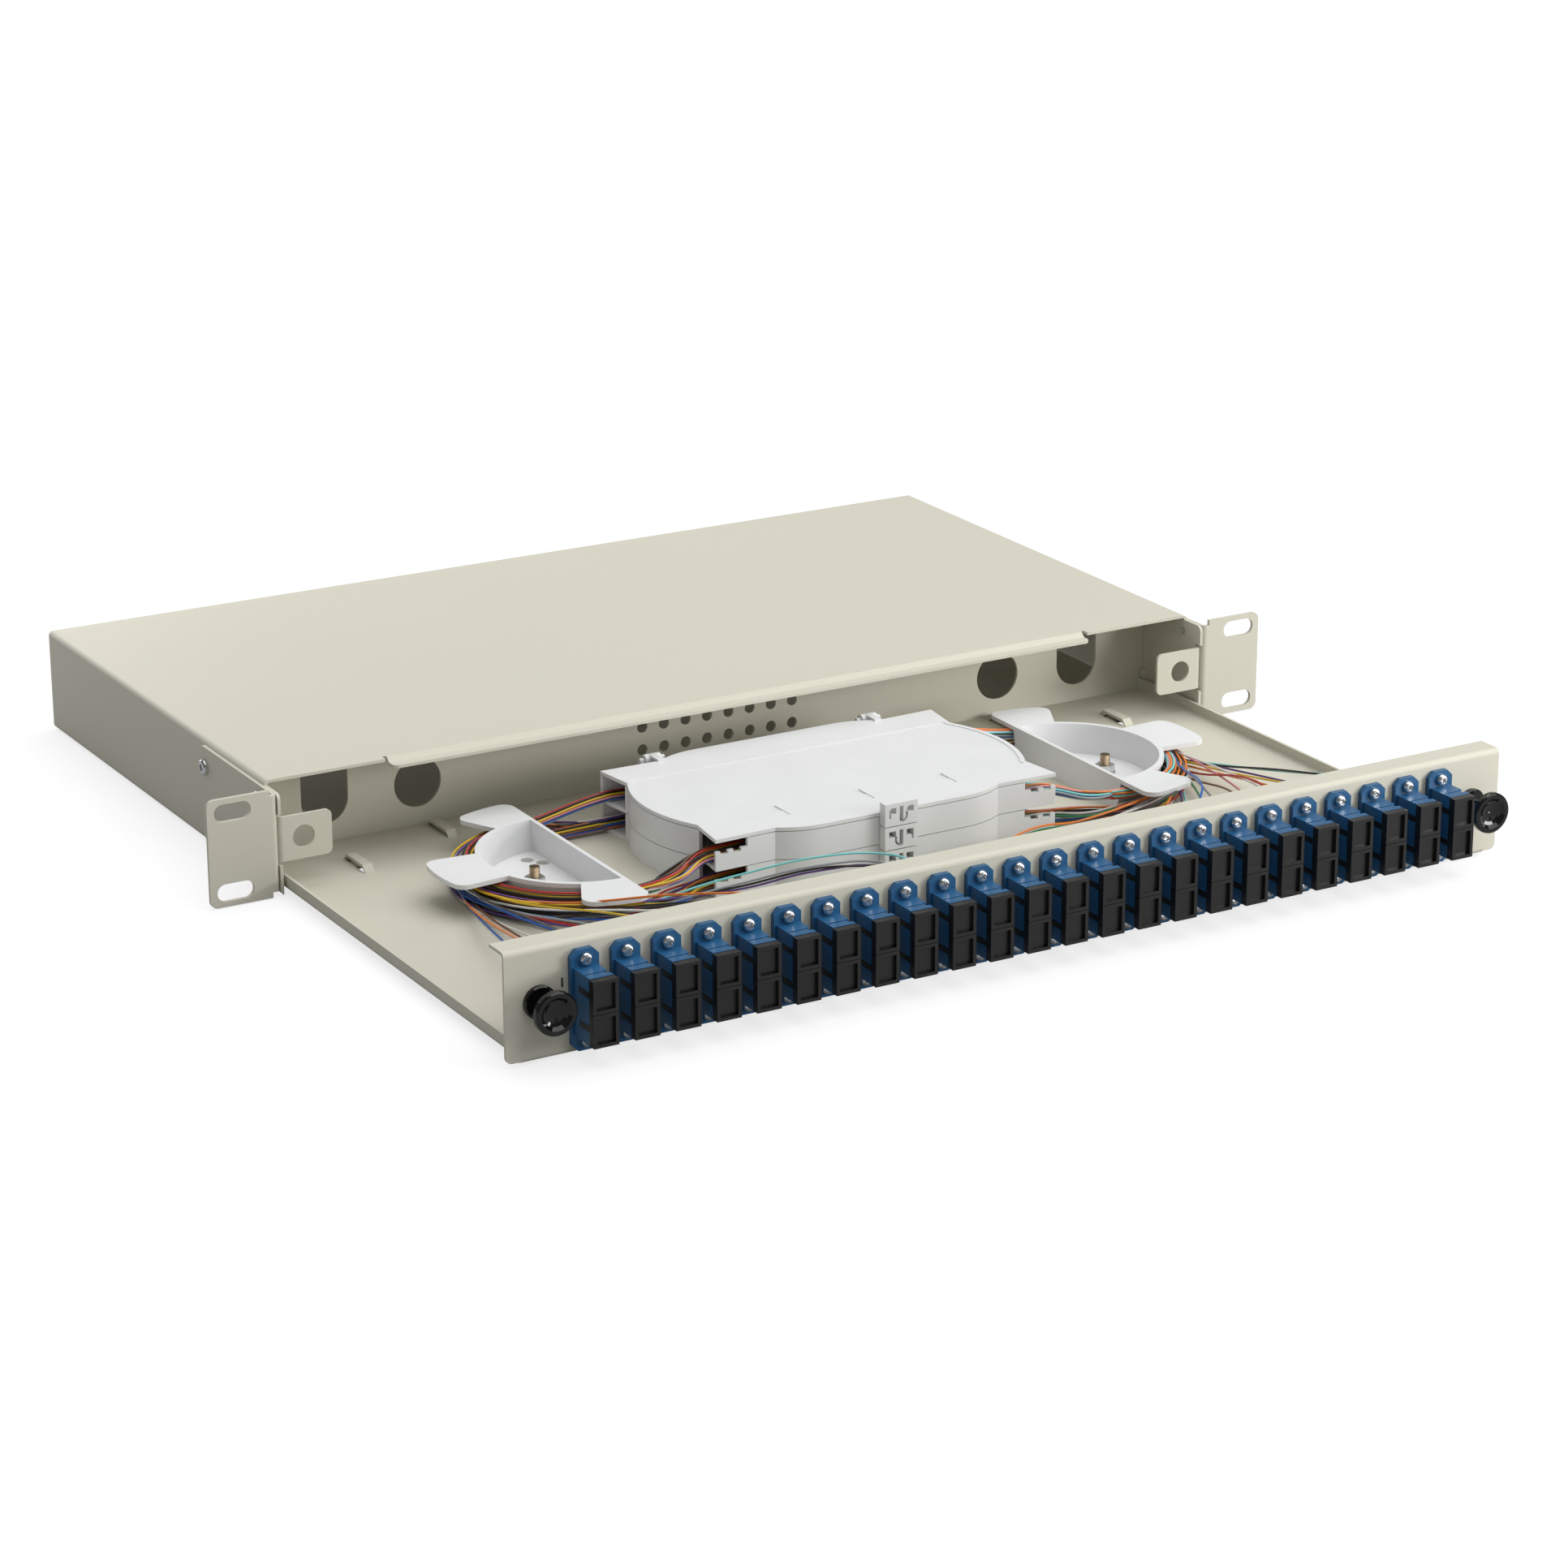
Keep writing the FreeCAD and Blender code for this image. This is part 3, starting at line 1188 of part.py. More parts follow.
def main():
    os.makedirs("parts", exist_ok=True)
    save("housing_shell", housing_shell())
    ear = ear_right()
    save("ear_right", ear)
    save("ear_left", mirror_x(ear))
    save("ear_screws", ear_screws())
    save("drawer_tray", drawer_tray())
    save("drawer_rear_wall", drawer_rear_wall())
    save("front_panel", front_panel())
    for name, side in (("left", -1), ("right", 1)):
        save("latch_grommet_" + name, latch_grommet(side))
        save("latch_plunger_" + name, latch_plunger(side))
    for n, x in enumerate(coupler_xs()):
        save("adapter_%02d" % (n + 1), adapter(x))
    save("adapter_sleeves", adapter_sleeves())
    save("adapter_screws", adapter_screws())
    save("adapter_nuts", adapter_nuts())
    upper, lower = port_zs()
    save("dust_caps_upper", dust_caps(upper))
    save("dust_caps_lower", dust_caps(lower))
    save("pigtail_plugs", plugs())
    save("plug_boots", boots())
    guide = fibre_guide_right()
    save("fibre_guide_right", guide)
    save("fibre_guide_left", mirror_x(guide))
    save("guide_studs", guide_studs())
    save("guide_washers", guide_washers())
    save("guide_nuts", guide_nuts())
    save("splice_tray_lower", splice_tray(False))
    save("splice_tray_upper", splice_tray(True))
    save("splice_lid", splice_lid())
    save("splice_comb_lower", comb_at(Z_TRAY_LOWER))
    save("splice_comb_upper", comb_at(Z_TRAY_UPPER))
    save("splice_protectors_lower", protectors_at(Z_TRAY_LOWER))
    save("splice_protectors_upper", protectors_at(Z_TRAY_UPPER))
    save("tray_rivets", tray_rivets())
    right_bundles = fibre_bundles()
    save("fibre_bundle_right", right_bundles)
    save("fibre_bundle_left", mirror_x(right_bundles))


main()
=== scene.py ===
import math
import random

import bpy
from mathutils import Matrix, Vector


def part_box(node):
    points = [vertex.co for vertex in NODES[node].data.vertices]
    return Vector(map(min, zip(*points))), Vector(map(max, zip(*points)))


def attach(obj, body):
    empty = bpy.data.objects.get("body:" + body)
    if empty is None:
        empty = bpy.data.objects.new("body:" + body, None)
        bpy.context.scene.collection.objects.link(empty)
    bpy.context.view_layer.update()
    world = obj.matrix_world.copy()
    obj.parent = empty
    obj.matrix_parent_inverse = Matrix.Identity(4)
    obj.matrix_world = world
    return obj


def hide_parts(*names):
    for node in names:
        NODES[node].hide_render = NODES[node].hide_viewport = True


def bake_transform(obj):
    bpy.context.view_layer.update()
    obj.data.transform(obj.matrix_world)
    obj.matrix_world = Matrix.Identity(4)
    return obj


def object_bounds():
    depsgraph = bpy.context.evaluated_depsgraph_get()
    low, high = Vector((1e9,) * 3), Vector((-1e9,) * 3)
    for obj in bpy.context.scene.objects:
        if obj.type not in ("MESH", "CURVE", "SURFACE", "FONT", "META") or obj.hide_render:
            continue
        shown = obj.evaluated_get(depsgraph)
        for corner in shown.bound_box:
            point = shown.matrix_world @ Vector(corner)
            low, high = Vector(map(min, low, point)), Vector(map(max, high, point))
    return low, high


bl_info = {
    "name": "Fibre splice box look",
    "version": (1, 0, 0),
    "blender": (4, 5, 0),
    "location": "3D Viewport > Sidebar > Splice Box",
    "description": "Finishes, screws, fibres and stage for a sliding fibre splice box",
    "category": "Object",
}

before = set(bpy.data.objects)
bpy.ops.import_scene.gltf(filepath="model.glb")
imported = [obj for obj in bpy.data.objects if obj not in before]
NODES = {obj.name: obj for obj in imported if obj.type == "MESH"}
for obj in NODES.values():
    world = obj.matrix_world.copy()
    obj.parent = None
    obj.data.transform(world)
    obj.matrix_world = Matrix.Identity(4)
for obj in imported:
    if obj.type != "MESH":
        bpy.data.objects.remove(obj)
CAD_BOX = [list(corner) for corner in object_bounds()]

MM = 0.001
DRAWER = "drawer"
HOUSING = "housing"


def named(prefix):
    return [n for n in sorted(NODES) if n.startswith(prefix)]


# Settings shown in the sidebar


class StageSettings(bpy.types.PropertyGroup):
    camera_place: bpy.props.FloatVectorProperty(
        name="Camera place", description="Where the camera stands, in the part's frame",
        default=(-0.83401, -1.45730, 0.56751), subtype="TRANSLATION", unit="LENGTH")
    camera_turn: bpy.props.FloatVectorProperty(
        name="Camera turn", description="Camera rotation as XYZ Euler angles",
        default=(1.236051, -0.000446, -0.533811), subtype="EULER", unit="ROTATION")
    lens: bpy.props.FloatProperty(
        name="Lens", description="Focal length in millimetres on a 36 mm sensor", default=101.41)
    shift: bpy.props.FloatVectorProperty(
        name="Shift", description="Lens shift as a share of the picture", size=2,
        default=(-0.02581, 0.00342))
    floor_drop: bpy.props.FloatProperty(
        name="Floor drop", description="Gap between the box and the floor", default=0.0004, unit="LENGTH")
    sun: bpy.props.FloatProperty(name="Sun strength", description="Wide soft light", default=1.9)
    sun_angle: bpy.props.FloatProperty(
        name="Sun angle", description="Softness of the sun", default=math.radians(70.0),
        unit="ROTATION")
    top_power: bpy.props.FloatProperty(
        name="Top power", description="Large lamp above the housing", default=3.0)
    key_power: bpy.props.FloatProperty(
        name="Key power", description="Lamp at the front right", default=7.0)
    rear_power: bpy.props.FloatProperty(
        name="Rear power", description="Low lamp behind the housing", default=1.1)
    sky: bpy.props.FloatProperty(name="Sky strength", description="Even light from all round", default=0.5)
    sheen: bpy.props.FloatProperty(name="Sheen", description="Room that polished faces mirror", default=0.14)
    bounce: bpy.props.FloatProperty(
        name="Bounce", description="Floor tone that lights the box", default=0.36)
    glow: bpy.props.FloatProperty(
        name="Glow", description="Share of the floor that stays white", default=0.75)


class FinishSettings(bpy.types.PropertyGroup):
    coat: bpy.props.FloatVectorProperty(
        name="Coat", description="Powder coat of the sheet metal", subtype="COLOR",
        default=(0.545, 0.525, 0.435))
    blue: bpy.props.FloatVectorProperty(
        name="Coupler blue", description="Moulded couplers", subtype="COLOR",
        default=(0.013, 0.088, 0.205))
    black: bpy.props.FloatVectorProperty(
        name="Black", description="Dust caps and latch knobs", subtype="COLOR",
        default=(0.0085, 0.008, 0.0075))
    white: bpy.props.FloatVectorProperty(
        name="White", description="Splice trays and fibre guides", subtype="COLOR",
        default=(0.70, 0.702, 0.695))
    zinc: bpy.props.FloatVectorProperty(
        name="Zinc", description="Plated screws and nuts", subtype="COLOR",
        default=(0.78, 0.79, 0.80))
    brass: bpy.props.FloatVectorProperty(
        name="Brass", description="Guide studs", subtype="COLOR",
        default=(0.80, 0.60, 0.38))
    ink: bpy.props.FloatVectorProperty(
        name="Ink", description="Printed numeral", subtype="COLOR",
        default=(0.02, 0.02, 0.02))
    pitch: bpy.props.FloatProperty(
        name="Thread pitch", description="Grooves of the guide studs", default=0.0007, unit="LENGTH")
    edge: bpy.props.FloatProperty(
        name="Edge", description="Width of the softened edges", default=0.00022, unit="LENGTH")


class FibreSettings(bpy.types.PropertyGroup):
    diameter: bpy.props.FloatProperty(
        name="Diameter", description="Sheathed fibre", default=0.0009, unit="LENGTH")
    spread: bpy.props.FloatProperty(
        name="Spread", description="Radius of a bundle's inner ring", default=0.00094, unit="LENGTH")
    resolution: bpy.props.IntProperty(name="Steps", description="Curve steps between two points", default=8)


class ScrewSettings(bpy.types.PropertyGroup):
    ear_head: bpy.props.FloatProperty(
        name="Ear screw head", description="Across", default=0.0064, unit="LENGTH")
    ear_rise: bpy.props.FloatProperty(
        name="Ear screw rise", description="Head height", default=0.0019, unit="LENGTH")
    small_head: bpy.props.FloatProperty(
        name="Small screw head", description="Across", default=0.0046, unit="LENGTH")
    small_rise: bpy.props.FloatProperty(
        name="Small screw rise", description="Head height", default=0.0019, unit="LENGTH")


SETTINGS = {
    "splice_stage": StageSettings,
    "splice_finish": FinishSettings,
    "splice_fibre": FibreSettings,
    "splice_screw": ScrewSettings,
}


def settings(name):
    return getattr(bpy.context.scene, name)


# Shader building


class Sock:
    """An output socket that takes part in sums, so shader maths reads like maths."""

    def __init__(self, tree, socket):
        self.tree = tree
        self.socket = socket

    def maths(self, operation, other, swap=False):
        values = [self, other]
        if swap:
            values.reverse()
        return add_node(self.tree, "ShaderNodeMath", {"operation": operation}, {0: values[0], 1: values[1]})

    def __add__(self, other):
        return self.maths("ADD", other)

    def __radd__(self, other):
        return self.maths("ADD", other, True)

    def __mul__(self, other):
        return self.maths("MULTIPLY", other)


def add_node(tree, kind, options=None, inputs=None, output=0):
    node = tree.nodes.new(kind)
    for key, value in (options or {}).items():
        setattr(node, key, value)
    for key, value in (inputs or {}).items():
        if isinstance(value, Sock):
            tree.links.new(value.socket, node.inputs[key])
        else:
            node.inputs[key].default_value = value
    return Sock(tree, node.outputs[output]) if len(node.outputs) else None


def new_material(name):
    material = bpy.data.materials.new(name)
    material.use_nodes = True
    tree = material.node_tree
    tree.nodes.clear()
    return material, tree


def place(tree):
    """Coordinates of the object, output 3 of the node."""
    return add_node(tree, "ShaderNodeTexCoord", output=3)


def noise(tree, scale, detail=2.0, roughness=0.5):
    inputs = {"Vector": place(tree), "Scale": scale, "Detail": detail, "Roughness": roughness}
    return add_node(tree, "ShaderNodeTexNoise", {}, inputs)


def tint(tree, color, dark, factor):
    """Goes from a darker form of a colour to the colour; 6 and 7 are the node's colour inputs."""
    low = [c * dark for c in color]
    inputs = {0: factor, 6: (*low, 1.0), 7: (*color, 1.0)}
    return add_node(tree, "ShaderNodeMix", {"data_type": "RGBA"}, inputs, 2)


def bump(tree, height, distance, strength=1.0):
    inputs = {"Height": height, "Distance": distance, "Strength": strength}
    return add_node(tree, "ShaderNodeBump", {}, inputs)


def finish_shader(material, tree, inputs):
    shader = add_node(tree, "ShaderNodeBsdfPrincipled", {}, inputs)
    add_node(tree, "ShaderNodeOutputMaterial", {}, {"Surface": shader})
    return material


# Materials


def powder_coat(name, color):
    material, tree = new_material(name)
    cloud = noise(tree, 14.0)
    grain = noise(tree, 1500.0, 3.0, 0.6)
    pores = noise(tree, 3800.0, 1.0)
    return finish_shader(material, tree, {
        "Base Color": tint(tree, color, 0.955, cloud * 0.5 + grain * 0.5),
        "Roughness": 0.50 + grain * 0.16,
        "Normal": bump(tree, grain * 0.75 + pores * 0.25, 0.00006, 0.55),
        "Specular IOR Level": 0.3,
    })


def moulded(name, color, rough, grain_size=900.0, depth=0.00002, clear=0.0):
    """Plastic with a fine grain; clear is the share of light that goes below the surface."""
    material, tree = new_material(name)
    cloud = noise(tree, 60.0)
    grain = noise(tree, grain_size, 2.0)
    return finish_shader(material, tree, {
        "Base Color": tint(tree, color, 0.95, cloud),
        "Roughness": rough - 0.05 + cloud * 0.1,
        "Normal": bump(tree, grain, depth, 0.5),
        "Subsurface Weight": clear,
        "Subsurface Radius": (0.002, 0.002, 0.002),
        "Subsurface Scale": 0.5,
    })


def plated(name, color, rough):
    material, tree = new_material(name)
    cloud = noise(tree, 240.0)
    lines = noise(tree, 2600.0, 2.0)
    return finish_shader(material, tree, {
        "Base Color": tint(tree, color, 0.78, cloud),
        "Metallic": 1.0,
        "Roughness": rough - 0.06 + cloud * 0.16,
        "Normal": bump(tree, lines, 0.00001, 0.4),
    })


def threaded(name, color, pitch):
    """Plated metal with the grooves of a thread that runs along Z, the grooves painted darker as painted
    shade.
    """
    material, tree = new_material(name)
    inputs = {"Vector": place(tree), "Scale": math.pi / (10.0 * pitch), "Distortion": 0.0}
    options = {"wave_type": "BANDS", "bands_direction": "Z"}
    groove = add_node(tree, "ShaderNodeTexWave", options, inputs, 1)
    cloud = noise(tree, 500.0)
    return finish_shader(material, tree, {
        # Painted shade: the base colour goes down to 0.35 of itself in the thread grooves, where the bump
        # sinks.
        "Base Color": tint(tree, color, 0.35, groove * 0.8 + cloud * 0.2),
        "Metallic": 1.0,
        "Roughness": 0.22 + cloud * 0.14,
        "Normal": bump(tree, groove, 0.00022, 1.0),
    })


def sheath(name, color):
    material, tree = new_material(name)
    cloud = noise(tree, 420.0)
    return finish_shader(material, tree, {
        "Base Color": tint(tree, color, 0.82, cloud),
        "Roughness": 0.3 + cloud * 0.12,
        "Normal": bump(tree, cloud, 0.00001, 0.4),
    })


FIBRE_COLORS = {
    "red": (0.52, 0.022, 0.015),
    "green": (0.02, 0.22, 0.07),
    "yellow": (0.72, 0.47, 0.02),
    "blue": (0.02, 0.12, 0.46),
    "white": (0.74, 0.73, 0.69),
    "violet": (0.13, 0.06, 0.24),
    "orange": (0.76, 0.20, 0.02),
    "black": (0.02, 0.02, 0.02),
    "grey": (0.30, 0.32, 0.33),
    "brown": (0.19, 0.075, 0.03),
    "rose": (0.72, 0.28, 0.30),
    "aqua": (0.20, 0.62, 0.60),
}


# Edges that turn by more degrees than this are sharp
SHARP = 35.0


def clear_slots(obj):
    obj.data.materials.clear()


def dress(names, material, edge=None):
    """Gives CAD nodes one material and a narrow softened edge."""
    width = settings("splice_finish").edge if edge is None else edge
    for name in names:
        obj = NODES[name]
        clear_slots(obj)
        obj.data.materials.append(material)
        if width > 0:
            bevel = obj.modifiers.new("Edge", "BEVEL")
            bevel.width = width
            bevel.segments = 2
            bevel.limit_method = "ANGLE"
            bevel.angle_limit = math.radians(SHARP)
            bevel.use_clamp_overlap = True
            bevel.harden_normals = True


# Small modelling helpers


def deselect():
    if bpy.context.object and bpy.context.object.mode != "OBJECT":
        bpy.ops.object.mode_set(mode="OBJECT")
    bpy.ops.object.select_all(action="DESELECT")


def activate(obj):
    deselect()
    obj.select_set(True)
    bpy.context.view_layer.objects.active = obj


def settle(obj):
    """Moves an object's place into its mesh."""
    activate(obj)
    bpy.ops.object.transform_apply(location=True, rotation=True, scale=True)


def join(objects, name):
    deselect()
    for obj in objects:
        obj.select_set(True)
    bpy.context.view_layer.objects.active = objects[0]
    if len(objects) > 1:
        bpy.ops.object.join()
    result = bpy.context.object
    result.name = name
    result.data.name = name
    settle(result)
    return result


def select_faces(obj, test):
    for polygon in obj.data.polygons:
        polygon.select = test(polygon)


def smooth_by_angle(obj, degrees):
    activate(obj)
    bpy.ops.object.shade_smooth_by_angle(angle=math.radians(degrees))


def ride(obj, body):
    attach(obj, body)


# Screws

SMALL_SHANK_R = 1.1 * MM
EAR_SHANK_R = 1.4 * MM
SMALL_SIDES = 24
EAR_SIDES = 36
# Shares of the head's height: its rounded crown, the recess and where the shank starts
CROWN = 0.55
RECESS = 0.9
SHANK_START = 0.6
# Shares of the head's width: the recess's two blades
BLADE_LONG = 0.52
BLADE_WIDE = 0.115
# Boxes of one solid's loose faces are this close, in metres
TOUCH = 1e-5


def cross_head(name, across, rise, sides):
    """Pan head with a cross recess, seat at the origin and top towards -Y."""
    bpy.ops.mesh.primitive_cylinder_add(vertices=sides, radius=across / 2, depth=rise)
    head = bpy.context.object
    head.name = name
    bpy.ops.object.mode_set(mode="EDIT")
    bpy.ops.mesh.select_all(action="DESELECT")
    bpy.ops.mesh.select_mode(type="FACE")
    bpy.ops.object.mode_set(mode="OBJECT")
    select_faces(head, lambda f: f.normal.z > 0.9)
    bpy.ops.object.mode_set(mode="EDIT")
    bpy.ops.mesh.bevel(offset=rise * CROWN, segments=5, affect="EDGES")
    bpy.ops.object.mode_set(mode="OBJECT")
    for turn in (0.0, math.pi / 2):
        bpy.ops.mesh.primitive_cube_add(size=1.0, location=(0, 0, rise * CROWN))
        blade = bpy.context.object
        blade.scale = (across * BLADE_LONG, across * BLADE_WIDE, rise * RECESS)
        blade.rotation_euler.z = turn
        cut = head.modifiers.new("Cross", "BOOLEAN")
        cut.operation = "DIFFERENCE"
        cut.solver = "EXACT"
        cut.object = blade
        activate(head)
        bpy.ops.object.modifier_apply(modifier=cut.name)
        bpy.data.objects.remove(blade)
    head.data.transform(Matrix.Rotation(math.radians(90.0), 4, "X"))
    head.data.transform(shift((0, -rise / 2, 0)))
    return head


def shift(offset):
    return Matrix.Translation(Vector(offset))


def spin_y(angle):
    return Matrix.Rotation(angle, 4, "Y")


def turn_z(angle):
    return Matrix.Rotation(angle, 4, "Z")


def head_copy(master, seed):
    """A copy of a head, turned about its own axis by an angle that follows from its place."""
    copy = master.copy()
    copy.data = master.data.copy()
    bpy.context.scene.collection.objects.link(copy)
    copy.data.transform(spin_y(random.Random(round(seed * 1e5)).uniform(0, math.pi)))
    return copy


def joined_screws(made, name, material):
    whole = join(made, name)
    clear_slots(whole)
    whole.data.materials.append(material)
    smooth_by_angle(whole, SHARP)
    return whole


def shank(low, high, rise, radius, axis):
    """Plain shank under a head, filling the rest of the CAD screw's box, along X (0) or Y (1)."""
    centre = (low + high) / 2
    if axis == 1:
        length = high.y - low.y - rise * SHANK_START
        bpy.ops.mesh.primitive_cylinder_add(
            vertices=16, radius=radius, depth=length,
            location=(centre.x, high.y - length / 2, centre.z), rotation=(math.pi / 2, 0, 0))
    else:
        length = high.x - low.x - rise * SHANK_START
        side = 1.0 if centre.x > 0 else -1.0
        inner = low.x if side > 0 else high.x
        bpy.ops.mesh.primitive_cylinder_add(
            vertices=20, radius=radius, depth=length,
            location=(inner + side * length / 2, centre.y, centre.z), rotation=(0, math.pi / 2, 0))
    rod = bpy.context.object
    settle(rod)
    return rod


def solid_boxes(node):
    """Box of every loose solid of a CAD node, from its linked vertices."""
    mesh = NODES[node].data
    parent = list(range(len(mesh.vertices)))

    def root(i):
        while parent[i] != i:
            parent[i] = parent[parent[i]]
            i = parent[i]
        return i

    for edge in mesh.edges:
        a, b = (root(i) for i in edge.vertices)
        parent[a] = b
    groups = {}
    for vertex in mesh.vertices:
        groups.setdefault(root(vertex.index), []).append(vertex.co)
    boxes = []
    for points in groups.values():
        low = Vector([min(p[i] for p in points) for i in range(3)])
        high = Vector([max(p[i] for p in points) for i in range(3)])
        boxes.append((low, high))
    return merge_boxes(boxes)


def merge_boxes(boxes):
    """Joins boxes that touch, since a solid's faces may be stored loose."""
    merged = []
    for low, high in sorted(boxes, key=lambda b: tuple(b[0])):
        for pair in merged:
            if all(low[i] <= pair[1][i] + TOUCH and high[i] >= pair[0][i] - TOUCH for i in range(3)):
                pair[0] = Vector([min(pair[0][i], low[i]) for i in range(3)])
                pair[1] = Vector([max(pair[1][i], high[i]) for i in range(3)])
                break
        else:
            merged.append([low.copy(), high.copy()])
    return merged


# Fibres

# Tray ports: distance from the middle plane, from the stack's middle and to the rear port's rear side
X_PORT = 77.1 * MM
PORT_MID = 37.15 * MM
PORT_SIDE = 4.9 * MM
# How far inside its port a fibre starts
INSIDE = 9 * MM

# Tray, height of its ports and height of its bundle on the guide, both above the guide's underside
LANES = (("lower", 3.4 * MM, 2.6 * MM), ("upper", 14.7 * MM, 9.1 * MM))
# Loops of one tray and side: how many, radius about the guide, degrees from stop to stop, stops
LOOPS = 18
LOOP_R = 42.1 * MM
LOOP_STEP = 30.0
LOOP_STOPS = 7

# Fan: radius about the guide, height of its port, lowest height on the guide, first angle and
# rough angle from stop to stop in degrees
FAN_R = 46.2 * MM
FAN_PORT = 3.6 * MM
FAN_LOW = 0.8 * MM
FAN_START = 88.0
FAN_STEP = 28.0

# Fibres to couplers nearer to the middle than LOW_X come in low
LOW_X = 62 * MM
# Those nearer than STRAY_X pass the STRAY points, lowered by a drop; points and drops are in millimetres
STRAY_X = 30 * MM
STRAY = [(78, -112, -6), (48, -124, 0), (26, -133, 0)]
STRAY_DROP = {"left": [3, -2.5, 1, 2], "right": [7, 3.5, 6, 5]}

STRAY_COLORS = {"left": ["violet", "aqua", "grey", "black"], "right": ["grey", "orange", "white", "green"]}
LOOP_COLORS = {
    "lower_left": ["orange", "black", "yellow", "brown", "blue", "rose", "black", "red", "violet"],
    "upper_left": ["red", "black", "yellow", "rose", "blue", "white", "green", "black", "brown"],
    "lower_right": ["orange", "white", "green", "grey", "blue", "brown", "orange", "black", "rose"],
    "upper_right": ["orange", "rose", "aqua", "grey", "blue", "white", "red", "orange", "aqua"],
}
FAN_COLORS = {
    "left": [
        "blue", "orange", "brown", "black", "white", "grey",
        "blue", "yellow", "red", "white", "violet", "black",
    ],
    "right": [
        "green", "blue", "grey", "brown", "rose", "red",
        "white", "yellow", "orange", "black", "violet", "aqua",
    ],
}


def fibre_curve(name, points, diameter, steps):
    data = bpy.data.curves.new(name, "CURVE")
    data.dimensions = "3D"
    data.bevel_depth = diameter / 2
    data.bevel_resolution = 2
    data.resolution_u = steps
    data.use_fill_caps = True
    spline = data.splines.new("BEZIER")
    spline.bezier_points.add(len(points) - 1)
    for knot, point in zip(spline.bezier_points, points):
        knot.co = point
        knot.handle_left_type = "AUTO"
        knot.handle_right_type = "AUTO"
    obj = bpy.data.objects.new(name, data)
    bpy.context.scene.collection.objects.link(obj)
    return obj


def make_fibres(name, routes, materials):
    """Routes are lists of points with the key of a colour."""
    fibre = settings("splice_fibre")
    made = []
    for n, (color, points) in enumerate(routes):
        obj = fibre_curve("%s_%02d" % (name, n), points, fibre.diameter, fibre.resolution)
        obj.data.materials.append(materials[color])
        activate(obj)
        bpy.ops.object.convert(target="MESH")
        made.append(bpy.context.object)
    whole = join(made, name)
    smooth_by_angle(whole, 60.0)
    return whole


def guide_hub():
    """Middle of the right guide's flat side, and the height of the guide's underside."""
    low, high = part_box("fibre_guide_right")
    return low[0], (low[1] + high[1]) / 2, low[2]


def stack_middle():
    """Middle of the tray stack from front to rear."""
    low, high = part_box("tray_rivets")
    return (low[1] + high[1]) / 2


def bundle_offset(n):
    """Place of one of eighteen fibres in its bundle: one in the middle, six round it, eleven outside."""
    spread = settings("splice_fibre").spread
    if n == 0:
        return 0.0, 0.0
    ring = spread if n < 7 else spread * 1.9
    turn = 2 * math.pi * (n - 1) / 6 if n < 7 else 2 * math.pi * (n - 6.5) / 11
    return ring * math.cos(turn), ring * math.sin(turn)


def leaving_angle(hub_x, hub_y, r, x, y):
    """Angle at which a fibre circling the hub towards the front leaves it in line with (x, y)."""
    low, high = math.radians(-78.0), math.radians(55.0)
    for _ in range(30):
        middle = (low + high) / 2
        reach = hub_y + r * math.sin(middle) - y
        if hub_x + r * math.cos(middle) + reach * math.tan(middle) < x:
            low = middle
        else:
            high = middle
    return middle


# The stage


# Name, place, target and size of each lamp, and the setting that holds its power
LAMPS = (
    ("Top", (0.2, 0.45, 1.05), (0.0, 0.1, 0.0), (1.2, 0.8), "top_power"),
    ("Key", (0.75, -0.75, 0.2), (0.1, -0.15, 0.0), (0.5, 0.35), "key_power"),
    ("Rear", (-0.15, 0.6, 0.06), (0.16, 0.1, -0.01), (0.4, 0.25), "rear_power"),
)
SUN_FROM = (0.38, -0.2, 1.0)
FLOOR_SIZE = 14.0


def make_camera():
    stage = settings("splice_stage")
    data = bpy.data.cameras.new("Camera")
    data.sensor_width = 36.0
    data.lens = stage.lens
    data.shift_x, data.shift_y = stage.shift
    data.clip_end = 20.0
    camera = bpy.data.objects.new("Camera", data)
    camera.location = stage.camera_place
    camera.rotation_euler = stage.camera_turn
    bpy.context.scene.collection.objects.link(camera)
    bpy.context.scene.camera = camera


def area_lamp(name, place_at, target, size, power):
    data = bpy.data.lights.new(name, "AREA")
    data.shape = "RECTANGLE"
    data.size, data.size_y = size
    data.energy = power
    lamp = bpy.data.objects.new(name, data)
    lamp.location = place_at
    lamp.rotation_euler = (Vector(target) - Vector(place_at)).to_track_quat("-Z", "Y").to_euler()
    bpy.context.scene.collection.objects.link(lamp)


def floor_material(bounce, glow):
    """Pale floor to the camera, with a light shadow, and a darker one to the light it throws back."""
    material, tree = new_material("Floor")
    seen = add_node(tree, "ShaderNodeLightPath")
    grain = noise(tree, 3.0)
    paint = tint(tree, (0.97, 0.97, 0.97), 0.99, grain)
    pale = add_node(tree, "ShaderNodeBsdfDiffuse", {}, {"Color": paint})
    dark = add_node(tree, "ShaderNodeBsdfDiffuse", {}, {"Color": (bounce, bounce, bounce, 1.0)})
    plain = add_node(tree, "ShaderNodeEmission", {}, {"Color": (1.0, 1.0, 1.0, 1.0), "Strength": 1.0})
    light = add_node(tree, "ShaderNodeMixShader", {}, {0: glow, 1: pale, 2: plain})
    mixed = add_node(tree, "ShaderNodeMixShader", {}, {0: seen, 1: dark, 2: light})
    add_node(tree, "ShaderNodeOutputMaterial", {}, {"Surface": mixed})
    return material


def sun_lamp(toward, strength, angle):
    data = bpy.data.lights.new("Sun", "SUN")
    data.energy = strength
    data.angle = angle
    lamp = bpy.data.objects.new("Sun", data)
    lamp.rotation_euler = Vector(toward).to_track_quat("Z", "Y").to_euler()
    bpy.context.scene.collection.objects.link(lamp)


def background(tree, color, strength):
    return add_node(tree, "ShaderNodeBackground", {}, {"Color": color, "Strength": strength})


